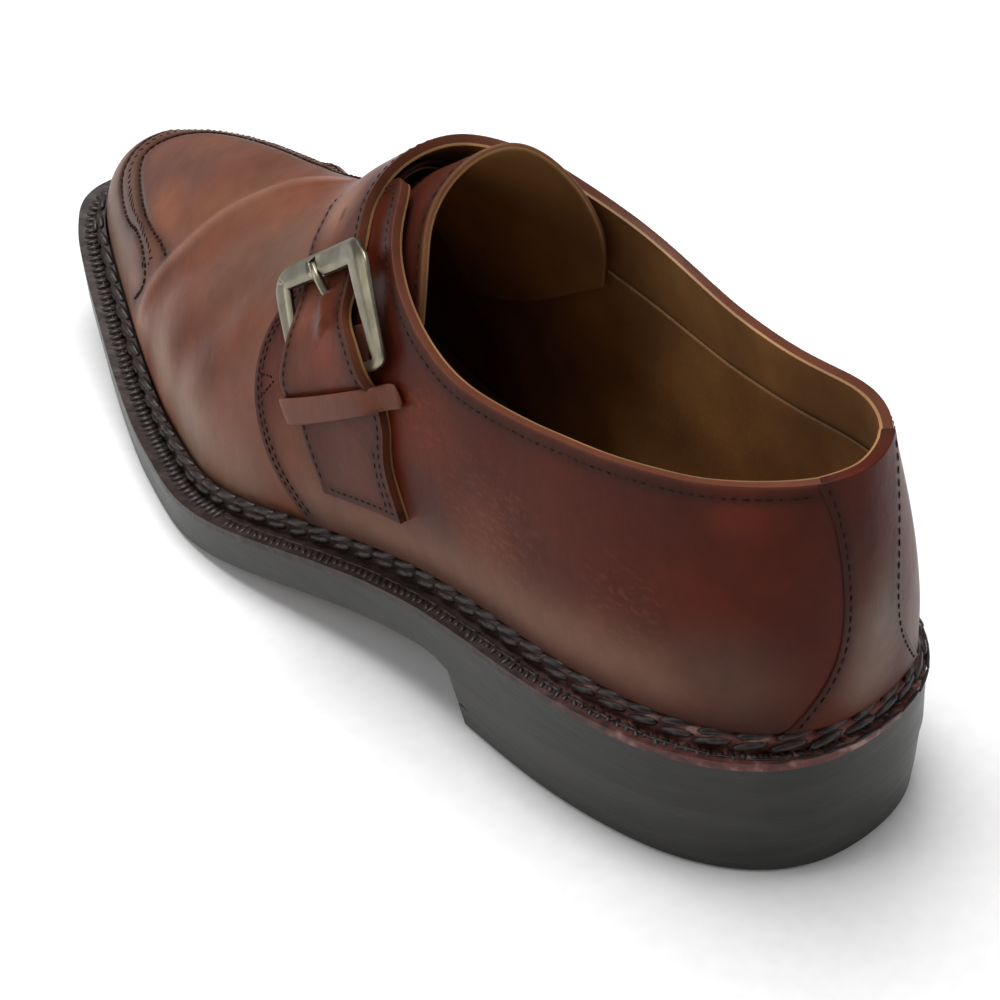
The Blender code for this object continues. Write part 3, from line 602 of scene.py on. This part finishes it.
# The vamp is the outer skin of the upper in front of the throat; the quarters cover the rest.
bm = cad_copy("upper")
keep_faces(bm, [face for face in patches(bm)[0] if face.calc_center_median().y > -36 * MM])
vamp = smoothed(bm, 3)
throat = rim_points(vamp, (-26, -36, 90), (4.8, -18.6, 104.6), (27, -36, 96))
trim(vamp, throat, [13] * len(throat))
vamp_tree = BVHTree.FromBMesh(vamp)

# The main crease runs up from the lateral side to the instep; the others are softer.
main_crease = laid(
    vamp_tree,
    [(-29, 88, 27), (-27, 82, 35), (-24, 77, 44), (-21, 71, 51), (-18, 67, 56), (-12, 62, 62),
     (-6, 56, 67), (-1, 51, 71), (3, 47, 73), (7, 40, 75), (10, 32, 77)],
)
hollow = laid(
    vamp_tree,
    [(-29, 78, 33), (-26, 70, 44), (-23, 64, 51), (-19, 58, 57), (-14, 52, 63), (-9, 46, 68),
     (-2, 38, 73)],
)
toe_hollow = laid(
    vamp_tree, [(-23, 86, 42), (-18, 80, 52), (-12, 74, 60), (-3, 68, 66), (6, 60, 70), (14, 52, 71)]
)
press(vamp, main_crease, 1.0, 1.7)
press(vamp, hollow, -1.0, 5.5)
press(vamp, toe_hollow, -0.5, 7.0)
# Softer folds on the lateral side, then those on the medial side.
for height, width, places in (
    (0.6, 6.0, [(-33, 66, 32), (-33, 58, 36), (-30, 50, 46), (-25, 42, 56), (-17, 34, 65)]),
    (-0.6, 5.0, [(-36, 56, 30), (-34, 48, 38), (-30, 40, 49), (-22, 30, 61)]),
    (0.5, 5.0, [(-39, 44, 26), (-36, 34, 38), (-30, 26, 50), (-20, 20, 64)]),
    (0.8, 2.6, [(34, 82, 34), (31, 76, 44), (27, 68, 54), (22, 60, 63), (15, 52, 70)]),
    (-0.9, 5.0, [(37, 72, 32), (34, 65, 44), (30, 58, 54), (24, 50, 64), (16, 43, 72)]),
    (0.6, 5.0, [(39, 60, 32), (36, 52, 44), (32, 44, 54), (26, 36, 64)]),
):
    press(vamp, laid(vamp_tree, places), height, width)
press(vamp, laid(vamp_tree, [(24, 16, 72), (14, 18, 80), (4, 17, 84), (-8, 14, 84)]), 1.2, 6.0)
# The apron: two rough rows of hand stitching round the toe, as far as the crease on this side and
# up to the strap on the other.
apron_outer = laid(
    vamp_tree,
    [(-25, 92, 31), (-26, 86, 37), (-24, 85, 41), (-21, 92, 45), (-18, 100, 46), (-16, 110, 44),
     (-12, 121, 46), (-6, 128, 48), (2, 128, 53), (9, 121, 57), (14, 110, 60), (18, 97, 62),
     (20, 84, 65), (21, 71, 67), (21, 59, 69), (20, 47, 71), (19, 35, 73), (17, 22, 77)],
)
apron_inner = laid(
    vamp_tree,
    [(-22, 76, 49), (-20, 81, 50), (-18, 89, 50), (-15, 99, 50), (-11, 109, 52), (-7, 117, 54),
     (-2, 121, 55), (4, 116, 59), (9, 105, 62), (12, 92, 65), (14, 78, 67), (15, 64, 69),
     (15, 50, 71), (14, 36, 74), (12, 24, 78)],
)
for row in (apron_outer, apron_inner):
    press(vamp, row, -0.4, 1.2)
vamp.normal_update()
vamp_tree = BVHTree.FromBMesh(vamp)
between = []
for point in apron_outer:
    across = min(apron_inner, key=lambda other: (other - point).length)
    between.append(vamp_tree.find_nearest((point + across) / 2)[0])
feather = rim_loop(vamp, (-40, 30, 14))
dye_and_paint_light(
    vamp,
    "6e4435",
    clouds=[
        ((-6, 92, 60), 34, "5e423b", 0.8),
        ((-16, 90, 54), 16, "89573f", 0.85),
        ((-12, 68, 61), 15, "6e4934", 0.7),
        ((-4, 58, 68), 15, "7b533f", 0.7),
        ((10, 92, 62), 15, "84573f", 0.5),
        ((6, 64, 70), 22, "664234", 0.6),
        # Painted sheen: two grey-mauve clouds on the lateral slope of the vamp.
        ((-20, 42, 60), 20, "64473b", 0.8),
        ((-15, 24, 69), 20, "624d40", 0.8),
        ((4, 38, 74), 13, "6b3d2c", 0.7),
        ((-31, 53, 42), 15, "572818", 0.85),
        ((-34, 36, 43), 14, "502114", 0.8),
        # Painted shade in the hollow behind the main crease.
        ((-22, 77, 46), 9, "4e2b1e", 0.7),
        # Painted reflections: grey sheen on the toe's lateral side, then a pale band of floor low down.
        ((-13, 124, 41), 26, "6b594c", 0.75),
        ((-20, 108, 34), 18, "715c4e", 0.6),
        ((-27, 89, 28), 16, "97715f", 0.85),
        ((-34, 62, 27), 16, "8d6b58", 0.7),
        ((-40, 38, 22), 22, "846a5a", 0.85),
        ((-42, 14, 22), 20, "785a4c", 0.85),
        ((28, 96, 44), 30, "623f34", 0.7),
        ((34, 50, 40), 26, "633626", 0.7),
        ((24, 70, 60), 22, "7a4e38", 0.6),
    ],
    strokes=[
        (apron_outer, 4.0, "432a23", 0.6),
        (apron_inner, 3.0, "432a23", 0.5),
        (between, 2.5, "4a2f27", 0.5),
        # Painted highlight along the ridge of the main crease.
        (main_crease, 1.0, "ab8070", 0.65),
        # Darker just above the welt: burnish, and painted shade from the welt beside it.
        (feather, 4.0, "3a211a", 0.6),
    ],
    seams=[apron_outer, apron_inner],
)
finish_piece("vamp", vamp, [calf], ["upper"], wall=0.9)
sew("apron_stitches", [(vamp_tree, apron_outer), (vamp_tree, apron_inner)], thread,
    pitch=2.2, length=2.1, width=1.0, slant=14, rough=0.35)
sew("apron_lacing", [(vamp_tree, between)], thread,
    pitch=2.3, length=2.2, width=0.75, slant=28, across=True, sink=0.2, rough=0.5)


# --- Storm welt and braid --------------------------------------------------------------------
# A folded welt of thick leather stands against the upper and lies out over the midsole. A braid of
# waxed cord is sewn along its lip, and a coarse ladder of stitches binds its ledge.

# Welt leather: dyed very dark brown, filled with wax; at the heel the wax has rubbed to a dull red,
# with pale pink flecks painted in as glints on the wax.
welt_leather, tree, shader, place = new_material("waxed_welt_leather")
mottle = add_node(tree, "TexNoise", {"Vector": place, "Scale": 1 / 0.004, "Detail": 4}).outputs["Fac"]
darks = [(0.35, "211714"), (0.7, "392a27")]
dark = add_node(tree, "ValToRGB", {"Fac": mottle}, stops=darks).outputs["Color"]
# The palest pink stop is painted glint.
reds_and_glints = [(0.35, "3a1f1c"), (0.7, "a07c74"), (0.56, "6a3a34")]
red_and_glints = add_node(tree, "ValToRGB", {"Fac": mottle}, stops=reds_and_glints).outputs["Color"]
rear = add_node(tree, "SeparateXYZ", {"Vector": place}).outputs["Y"]
rear = {"Value": rear, "From Min": -90 * MM, "From Max": -140 * MM, "To Min": 0, "To Max": 0.85}
rear = add_node(tree, "MapRange", rear).outputs["Result"]
wax_and_glints = add_node(tree, "MixRGB", {"Fac": rear, "Color1": dark, "Color2": red_and_glints}).outputs["Color"]
relief = add_node(tree, "Bump", {"Height": mottle, "Distance": 0.5 * MM}).outputs["Normal"]
set_inputs(
    tree, shader, {"Base Color": wax_and_glints, "Roughness": 0.45, "Specular IOR Level": 0.28, "Normal": relief}
)

# Waxed cord: nearly black, glossy with wax on the crowns of its turns.
cord_wax, tree, shader, place = new_material("waxed_braid_cord")
fibre = add_node(tree, "TexNoise", {"Vector": place, "Scale": 1 / 0.0025, "Detail": 3}).outputs["Fac"]
blacks = [(0.35, "1d1715"), (0.7, "3a302d")]
black = add_node(tree, "ValToRGB", {"Fac": fibre}, stops=blacks).outputs["Color"]
relief = add_node(tree, "Bump", {"Height": fibre, "Distance": 0.25 * MM}).outputs["Normal"]
set_inputs(
    tree, shader, {"Base Color": black, "Roughness": 0.38, "Specular IOR Level": 0.3, "Normal": relief}
)

# The braid follows the line where the upper meets the welt.
bm = cad_copy("upper")
keep_faces(bm, patches(bm)[0])
welt_line = rim_loop(smoothed(bm, 2), (-40, 0, 14))
bm = cad_copy("welt")
welt_tree = BVHTree.FromBMesh(bm)
square_off(bm, ("bottom",))
ledge = bm.copy()
keep_faces(ledge, next(patch for patch in patches(ledge, 40) if patch[0].normal.z > 0.8))
ledge = smoothed(ledge, 2)
ledge_tree = BVHTree.FromBMesh(ledge)
crease_folds(bm, 40)
finish_piece("storm_welt", bm, [welt_leather], ["welt"], levels=2)

# The ladder of stitches: broad bars side by side round the forepart, small pearls from the waist
# round the heel.
waist = 12 * MM
fore_row = [p for p in beside(ledge_tree, rim_loop(ledge, (0, -153, 36)), 2.3) if p.y > waist]
rear_row = [p for p in beside(ledge_tree, rim_loop(ledge, (0, 154, 28)), 2.3) if p.y < waist]
sew("ladder_stitches", [(ledge_tree, fore_row)], cord_wax,
    pitch=2.3, length=4.4, width=2.25, slant=5, across=True, sink=0.45, rough=0.08)
sew("pearl_stitches", [(ledge_tree, rear_row)], cord_wax,
    pitch=2.2, length=3.4, width=1.7, slant=24, across=True, sink=0.45, rough=0.4)


def set_off(line, out, up):
    """A closed line round the shoe, moved outwards on the level and upwards, in millimetres."""
    moved, last = [], len(line) - 1
    for count, point in enumerate(line):
        along = line[(count + 2) % last] - line[(count - 2) % last]
        side = Vector((along.y, -along.x, 0)).normalized()
        centre = Vector((0, max(-110 * MM, min(100 * MM, point.y)), point.z))
        side = side if side.dot(point - centre) > 0 else -side
        moved.append(point + side * out * MM + Vector((0, 0, up * MM)))
    return moved


# The braid shows as two rows of long turns of cord, the lower one half a turn on, with a thin rib
# below them.
welt_path = even(welt_line, 1.0)
upper_turns, lower_turns = set_off(welt_path, 2.1, 5.4), set_off(welt_path, 4.0, 3.4)
lower_turns = lower_turns[4:] + lower_turns[1:5]
for name, turns, width in (
    ("braid_upper_turns", upper_turns, 2.4),
    ("braid_lower_turns", lower_turns, 2.3),
):
    sew(name, [(welt_tree, turns)], cord_wax,
        pitch=7.6, length=8.2, width=width, slant=11, sink=0.45, rough=0.08)
sew("welt_rib", [(welt_tree, set_off(welt_path, 5.0, 1.9))], cord_wax,
    pitch=7.0, length=8.4, width=0.9, slant=2)


# --- Tongue ----------------------------------------------------------------------------------
# One piece of calf, lined with the same tan calf as the shoe, its two layers sewn together along
# the rim. It is sewn under the quarters at the throat and stands up behind the strap.


def leather_skin(node):
    """The outer face of a leather solid, smoothed."""
    bm = cad_copy(node)
    keep_faces(bm, patches(bm)[0])
    return smoothed(bm, 3)


tongue = leather_skin("tongue")
tongue_tree = BVHTree.FromBMesh(tongue)
rim = rim_points(tongue, (-22.6, -46.1, 83.6), (7.5, -39.7, 113.5), (28.2, -44, 72.8))
tongue_row = beside(tongue_tree, rim, 2.6)
dye_and_paint_light(tongue, "4b241a", strokes=[(rim, 0.9, "7d5638", 0.7)], seams=[tongue_row])
finish_piece("tongue_leather", tongue, [calf, lining_calf], ["tongue"],
             wall=1.6, rounding=0.55)
sew("tongue_stitches", [(tongue_tree, tongue_row)], thread,
    pitch=2.8, length=2.0, width=0.55)


# --- Quarters --------------------------------------------------------------------------------
# Two quarters of calf meet at the back under a strip. Their topline is cut flush with the lining and
# sewn to it with one row; their front edges are sewn down on the vamp with two.
lateral = leather_skin("quarter_lateral")
lateral_tree = BVHTree.FromBMesh(lateral)
apex, heel_top = (-4.7, -19.9, 104.4), (-6.8, -149.5, 91.6)
topline = rim_points(lateral, apex, (-28, -60, 83), heel_top)
front = rim_points(lateral, (-38.4, -14.7, 23.4), (-34, 9, 52), apex)
topline_row = beside(lateral_tree, topline, 2.6)
front_rows = [beside(lateral_tree, front, 1.6), beside(lateral_tree, front, 3.0)]
# A pale band low on the side, painted in as a reflection of the floor.
floor_reflection_band = laid(
    lateral_tree,
    [(-38, -18, 31), (-34, -50, 35), (-33, -78, 39), (-32, -99, 41), (-30, -116, 43), (-27, -127, 44)],
)
foot = laid(
    lateral_tree,
    [(-38, -15, 24), (-37, -40, 26), (-34, -75, 29), (-31, -110, 33), (-24, -135, 35), (-13, -147, 36)],
)
dye_and_paint_light(
    lateral,
    "481a0e",
    clouds=[
        ((-37, -10, 42), 18, "6c412e", 0.9),
        ((-33, 3, 56), 12, "5c2e22", 0.8),
        ((-31, -57, 69), 19, "5c220b", 0.9),
        ((-29, -47, 78), 12, "3c1109", 0.8),
        ((-33, -79, 53), 16, "613020", 0.8),
        ((-30, -97, 66), 20, "532313", 0.6),
        ((-22, -136, 62), 18, "5c1f0e", 0.8),
        ((-17, -144, 74), 12, "4f1b0e", 0.8),
        # Painted reflection of the floor, low on the heel.
        ((-20, -140, 48), 18, "593f33", 0.8),
        ((-18, -140, 89), 14, "6c2b19", 0.7),
        # Painted shadow on the quarter behind the tail of the strap.
        ((-36, -58, 47), 13, "3d1a11", 0.85),
        ((-23, -44, 92), 16, "391b12", 0.8),
    ],
    strokes=[
        (floor_reflection_band, 8.5, "775646", 0.72),
        (topline, 3.0, "4a2418", 0.3),
        # A lighter rim: a worn edge, with a painted highlight along it.
        (topline, 0.5, "6a3e2c", 0.7),
        # Darker just above the welt: burnish, and painted shade from the welt beside it.
        (foot, 4.0, "35201a", 0.6),
    ],
    seams=[topline_row] + front_rows,
    scuffs=[((-32, -80, 54), 20, 0.8), ((-31, -56, 69), 12, 0.5), ((-27, -118, 56), 14, 0.4)],
)
finish_piece("quarter_lateral_leather", lateral, [calf, lining_calf],
             ["quarter_lateral"], wall=2.6, rounding=0.6)
sew("lateral_topline_stitches", [(lateral_tree, topline_row)], thread,
    pitch=2.2, length=1.5, width=0.5, rough=0.1)
sew("lateral_seam_stitches", [(lateral_tree, row) for row in front_rows], thread,
    pitch=2.1, length=1.5, width=0.6, rough=0.15)

# A small triangle of stitches keeps the front edge from tearing away.
tack = [
    laid(lateral_tree, [(-34, 8, 52), (-34, 0, 54)]),
    laid(lateral_tree, [(-34, 0, 54), (-37, 5, 47)]),
]
sew("bar_tack", [(lateral_tree, line) for line in tack], thread,
    pitch=1.5, length=1.2, width=0.6, rough=0.3)

# The medial quarter runs on over the instep as the strap. Its top edge is drawn out row by row
# between the strap's two edges, and each row is laid on the strap's solid.
tail_rear, tail_front = (-35.7, -51.9, 42.6), (-38.5, -24.3, 37.2)
strap_skin = cad_copy("strap")
keep_faces(strap_skin, patches(strap_skin)[0])
rear_edge = rim_points(strap_skin, (23.3, -33, 101), (0, -25, 100), tail_rear)
front_edge = rim_points(strap_skin, (24.2, 11.4, 74.2), (0, 14, 86), tail_front)
bmesh.ops.holes_fill(strap_skin, edges=[e for e in strap_skin.edges if e.is_boundary], sides=20)
strap_tree = BVHTree.FromBMesh(strap_skin)
strap_skin.free()
bm = cad_copy("quarter_medial")
keep_faces(bm, patches(bm)[0])
row = rim_line(bm, (23.6, -33.2, 100.4), (24, -12, 88), (24.5, 11.4, 73.7))
for rear, fore in zip(rear_edge[1:], front_edge[1:]):
    if rear.x < -20 * MM:
        # It spreads towards the heel where it fills the buckle.
        spread = 5.6 * MM * math.exp(-(((rear.z / MM - 69) / 12) ** 4))
        rear = rear + (rear - fore).normalized() * spread
    edges = [bm.edges.get(pair) for pair in zip(row, row[1:])]
    drawn = set(bmesh.ops.extrude_edge_only(bm, edges=edges)["geom"])
    row = [next(e.other_vert(v) for e in v.link_edges if e.other_vert(v) in drawn) for v in row]
    for count, vert in enumerate(row):
        vert.co = rear.lerp(fore, count / (len(row) - 1))
        if 0 < count < len(row) - 1:
            vert.co = strap_tree.find_nearest(vert.co)[0]
bmesh.ops.recalc_face_normals(bm, faces=bm.faces)
if max(bm.faces, key=lambda face: face.calc_center_median().x).normal.x < 0:
    bmesh.ops.reverse_faces(bm, faces=bm.faces)
medial = smoothed(bm, 3)
medial_tree = BVHTree.FromBMesh(medial)
rear = rim_points(medial, (13.9, -146, 91.2), (0, -25, 100), tail_rear)
fore = rim_points(medial, (32.8, -12.1, 22.6), (0, 14, 86), tail_front)
end = rim_points(medial, tail_rear, (-38, -38, 40), tail_front)
# The strap swells over the prong, and its front edge lies down on the vamp.
press(medial, laid(medial_tree, [(-31, -25, 77), (-30, -20, 79), (-28, -15, 81)]), 1.6, 3.6)
press(medial, laid(medial_tree, [(22, 12, 78), (12, 15, 86), (0, 14, 88), (-12, 9, 86)]), -1.8, 6.0)
medial_tree = BVHTree.FromBMesh(medial)
medial_rows = [
    beside(medial_tree, rear, 1.8),
    beside(medial_tree, fore, 1.5),
    beside(medial_tree, end, 1.6),
    # The tail of the strap has a second row along its rear edge.
    [p for p in beside(medial_tree, rear, 3.6) if p.x < -20 * MM and p.z < 58 * MM],
]
slit = laid(medial_tree, [(-13, -5, 91), (-15, -6, 90)])
medial_foot = laid(
    medial_tree,
    [(33, -14, 24), (33, -40, 27), (33, -75, 31), (32, -110, 35), (29, -132, 36), (21, -147, 37)],
)
# A pale band low on the side, painted in as a reflection of the floor.
medial_reflection_band = laid(
    medial_tree,
    [(36, -14, 36), (35, -40, 38), (34, -75, 41), (34, -110, 45), (30, -132, 46), (20, -148, 46)],
)
dye_and_paint_light(
    medial,
    "502315",
    clouds=[
        # Painted highlight on the top of the strap.
        ((-13, -1, 90), 13, "8b624f", 0.8),
        ((-25, -9, 82), 10, "663727", 0.8),
        ((-31, -10, 74), 9, "724636", 0.7),
        ((-34, -26, 73), 12, "682b13", 0.9),
        ((-35, -16, 67), 9, "603424", 0.7),
        ((-37, -34, 47), 16, "583126", 0.9),
        ((34, -60, 62), 24, "602713", 0.7),
        ((36, -20, 60), 20, "64331f", 0.6),
        ((32, -105, 70), 22, "632c1a", 0.6),
        ((24, -138, 70), 16, "4a1f13", 0.7),
    ],
    strokes=[
        (medial_reflection_band, 8.0, "6f5145", 0.7),
        (rear, 2.6, "3f1e15", 0.45),
        # Lighter rims: worn edges, with a painted highlight along them.
        (rear, 0.5, "6a3e2c", 0.7),
        (fore, 0.5, "6a3e2c", 0.6),
        # The slit for the prong is painted near black, as the shade inside it.
        (slit, 0.7, "140806", 0.95),
        # Darker just above the welt: burnish, and painted shade from the welt beside it.
        (medial_foot, 4.0, "35201a", 0.6),
    ],
    seams=medial_rows,
    scuffs=[((34, -70, 56), 20, 0.5)],
)
finish_piece("medial_quarter_and_strap", medial, [calf, lining_calf],
             ["quarter_medial", "strap"], wall=2.5, rounding=0.5)
sew("strap_stitches", [(medial_tree, row) for row in medial_rows], thread,
    pitch=2.2, length=1.5, width=0.5, rough=0.1)


# --- Back strip ------------------------------------------------------------------------------
# A long strip of calf covers the seam at the back of the heel. It is pared thin at its edges and
# sewn down along both of them.
strip = leather_skin("back_strip")
left = rim_line(strip, (-6.2, -150.1, 91.7), (-13, -151, 60), (-11.6, -148.5, 34.8))
right = rim_line(strip, (13.4, -146.8, 91.3), (20, -150, 60), (20.3, -148.4, 34.9))
# Each edge laps a little over its quarter.
for side, tree, lap in ((left, lateral_tree, (-1.3, 0.7, 0)), (right, medial_tree, (2.6, 1.5, 0))):
    for vert in side:
        place, normal, *_ = tree.find_nearest(vert.co + Vector(lap) * MM)
        vert.co = place + normal * 0.45 * MM
strip.normal_update()
strip_tree = BVHTree.FromBMesh(strip)
left, right = [v.co.copy() for v in left], [v.co.copy() for v in right]
strip_rows = [beside(strip_tree, left, 1.3), beside(strip_tree, right, 1.3)]
dye_and_paint_light(
    strip,
    "4a1f13",
    clouds=[
        ((2, -152, 87), 14, "431309", 0.8),
        ((5, -154, 66), 12, "513021", 0.8),
        # Painted sheen: grey reflections on the middle and the foot of the strip.
        ((8, -153, 55), 16, "77645a", 0.8),
        ((4, -153, 44), 11, "6a5649", 0.8),
        # Painted shade on the strip's medial side, against the highlight the rear lamp puts there.
        ((15, -151, 64), 10, "361d13", 0.7),
    ],
    strokes=[(left + right, 0.8, "34190f", 0.6)],
    seams=strip_rows,
)
finish_piece("back_strip_leather", strip, [calf, lining_calf], ["back_strip"],
             wall=3.2, rounding=0.4)
sew("back_strip_stitches", [(strip_tree, row) for row in strip_rows], thread,
    pitch=2.4, length=1.7, width=0.6)


# --- Chape and keeper ------------------------------------------------------------------------
# A short tab of calf folds round the bar of the buckle and holds it on the lateral quarter. The
# loop below it is a narrow band of the same calf that keeps the end of the strap down.
dark_ends = [((-24, -57, 62), 11, "34160f", 0.9), ((-30, -57, 55), 11, "34160f", 0.9)]
for node in ("buckle_chape", "keeper_loop"):
    bm = cad_copy(node)
    crease_folds(bm, 50, 0.35)
    bm = smoothed(bm, 2)
    dye_and_paint_light(bm, "603a2e", clouds=dark_ends)
    finish_piece(node + "_leather", bm, [calf], [node], levels=1)


# --- Buckle ----------------------------------------------------------------------------------
# A cast frame, nickel plated and brushed, curved to lie round the instep, with a loose prong. The
# frame is held at its lower bar, which the end of the strap covers.

# Brushed nickel: warm grey metal with fine lines across it and a cloudy haze where the fingers
# close it, so it gleams softly and does not mirror.
nickel, tree, shader, place = new_material("brushed_nickel")
brush = add_node(tree, "Mapping", {"Vector": place, "Scale": (1, 0.15, 1)}).outputs["Vector"]
lines = add_node(tree, "TexNoise", {"Vector": brush, "Scale": 1 / 0.0006, "Detail": 3}).outputs["Fac"]
haze = add_node(tree, "TexNoise", {"Vector": place, "Scale": 1 / 0.006, "Detail": 3}).outputs["Fac"]
greys = [(0.3, "6f6959"), (0.7, "8f8976")]
grey = add_node(tree, "ValToRGB", {"Fac": haze}, stops=greys).outputs["Color"]
gloss = add_node(tree, "MapRange", {"Value": lines, "To Min": 0.28, "To Max": 0.44}).outputs["Result"]
relief = add_node(tree, "Bump", {"Height": lines, "Distance": 0.02 * MM}).outputs["Normal"]
set_inputs(tree, shader, {"Base Color": grey, "Metallic": 1.0, "Roughness": gloss, "Normal": relief})

for node in ("buckle_frame", "buckle_prong"):
    bm = cad_copy(node)
    if node == "buckle_frame":
        # The arm on the heel side is cast broader, with a wide sloping outer face.
        head, low_end = Vector((-23, -28, 94)) * MM, Vector((-34, -43, 62)) * MM
        axis = low_end - head
        middle = sum((vert.co for vert in bm.verts), Vector()) / len(bm.verts)
        out = (head + low_end) / 2 - middle
        out = (out - axis * out.dot(axis) / axis.length_squared).normalized()
        shares = {v: (v.co - head).dot(axis) / axis.length_squared for v in bm.verts}
        arm = [v for v in bm.verts if v.co.y < -24 * MM and shares[v] > -0.25]
        moves = {}
        for vert in arm:
            level = [other for other in arm if abs(shares[other] - shares[vert]) < 0.06]
            reach = [other.co.dot(out) for other in level]
            place = (vert.co.dot(out) - min(reach)) / (max(reach) - min(reach))
            if place > 0.85:
                moves[vert] = out * 1.8 * MM * max(0.0, min(1.0, 1.5 - 1.4 * shares[vert]))
        for vert, move in moves.items():
            vert.co += move
        # Its lower end dives under the strap.
        face = out.cross(axis).normalized()
        face = face if face.x < 0 else -face
        for vert in bm.verts:
            vert.co -= face * 2.6 * MM * max(0.0, min(1.0, (shares[vert] - 0.72) / 0.28)) ** 2
    else:
        # The prong is stout, and its point dives into the strap.
        dive = Vector((0.4, 0.16, -0.6))
        for vert in bm.verts:
            past = max(0.0, -12.5 * MM - vert.co.y)
            vert.co += vert.normal * 0.25 * MM + dive * min(past, 4 * MM)
    crease_folds(bm, 30, 0.85)
    finish_piece(node + "_metal", bm, [nickel], [node], levels=2)


# --- Studio ----------------------------------------------------------------------------------
# White seamless paper under one large softbox, with a window light on the toe side and a smaller
# one behind the heel.
floor_paper, tree, shader, place = new_material("matt_paper")
fibres = add_node(tree, "TexNoise", {"Vector": place, "Scale": 1 / 0.004, "Detail": 2}).outputs["Fac"]
whites = [(0.3, "f2f2f2"), (0.7, "f6f6f6")]
white = add_node(tree, "ValToRGB", {"Fac": fibres}, stops=whites).outputs["Color"]
set_inputs(tree, shader, {"Base Color": white, "Roughness": 0.8})
bm = bmesh.new()
bmesh.ops.create_grid(bm, x_segments=1, y_segments=1, size=4)
mesh = bpy.data.meshes.new("studio_floor")
bm.to_mesh(mesh)
bm.free()
mesh.materials.append(floor_paper)
floor = bpy.data.objects.new("studio_floor", mesh)
bpy.context.scene.collection.objects.link(floor)


def area_light(name, position, target, size, power):
    """A softbox that faces its target."""
    data = bpy.data.lights.new(name, "AREA")
    data.shape = "RECTANGLE"
    data.size, data.size_y = size
    data.energy = power
    light = bpy.data.objects.new(name, data)
    bpy.context.scene.collection.objects.link(light)
    light.location = position
    light.rotation_mode = "QUATERNION"
    light.rotation_quaternion = (Vector(target) - Vector(position)).to_track_quat("-Z", "Y")


area_light("overhead", (0.1, 0.25, 1.3), (0, 0, 0), (0.9, 0.9), 20)
area_light("left_window", (-1.0, 0.5, 0.6), (0, 0.05, 0.05), (0.7, 0.9), 4.5)
area_light("right_rear", (0.5, -0.9, 0.5), (0, -0.1, 0.05), (0.5, 0.6), 2)

world = bpy.data.worlds.new("studio")
bpy.context.scene.world = world
world.use_nodes = True
background = world.node_tree.nodes["Background"]
background.inputs["Color"].default_value = (1, 1, 1, 1)
background.inputs["Strength"].default_value = 0.22
bpy.context.scene.view_settings.view_transform = "Standard"

# The camera stands behind and above the lateral side and looks at the middle of the shoe.
camera_data = bpy.data.cameras.new("camera")
camera = bpy.data.objects.new("camera", camera_data)
bpy.context.scene.collection.objects.link(camera)
bpy.context.scene.camera = camera
azimuth, elevation, roll = math.radians(-33.34), math.radians(35.59), math.radians(-4.70)
target, distance = Vector((5.67, -28.27, 16.35)) * MM, 502.45 * MM
back = Vector(
    (
        math.sin(azimuth) * math.cos(elevation),
        -math.cos(azimuth) * math.cos(elevation),
        math.sin(elevation),
    )
)
camera.location = target + back * distance
camera.rotation_mode = "QUATERNION"
turn = Matrix.Rotation(roll, 3, "Z").to_quaternion()
camera.rotation_quaternion = (-back).to_track_quat("-Z", "Y") @ turn
camera_data.lens = 76.5
camera_data.clip_start = 0.01
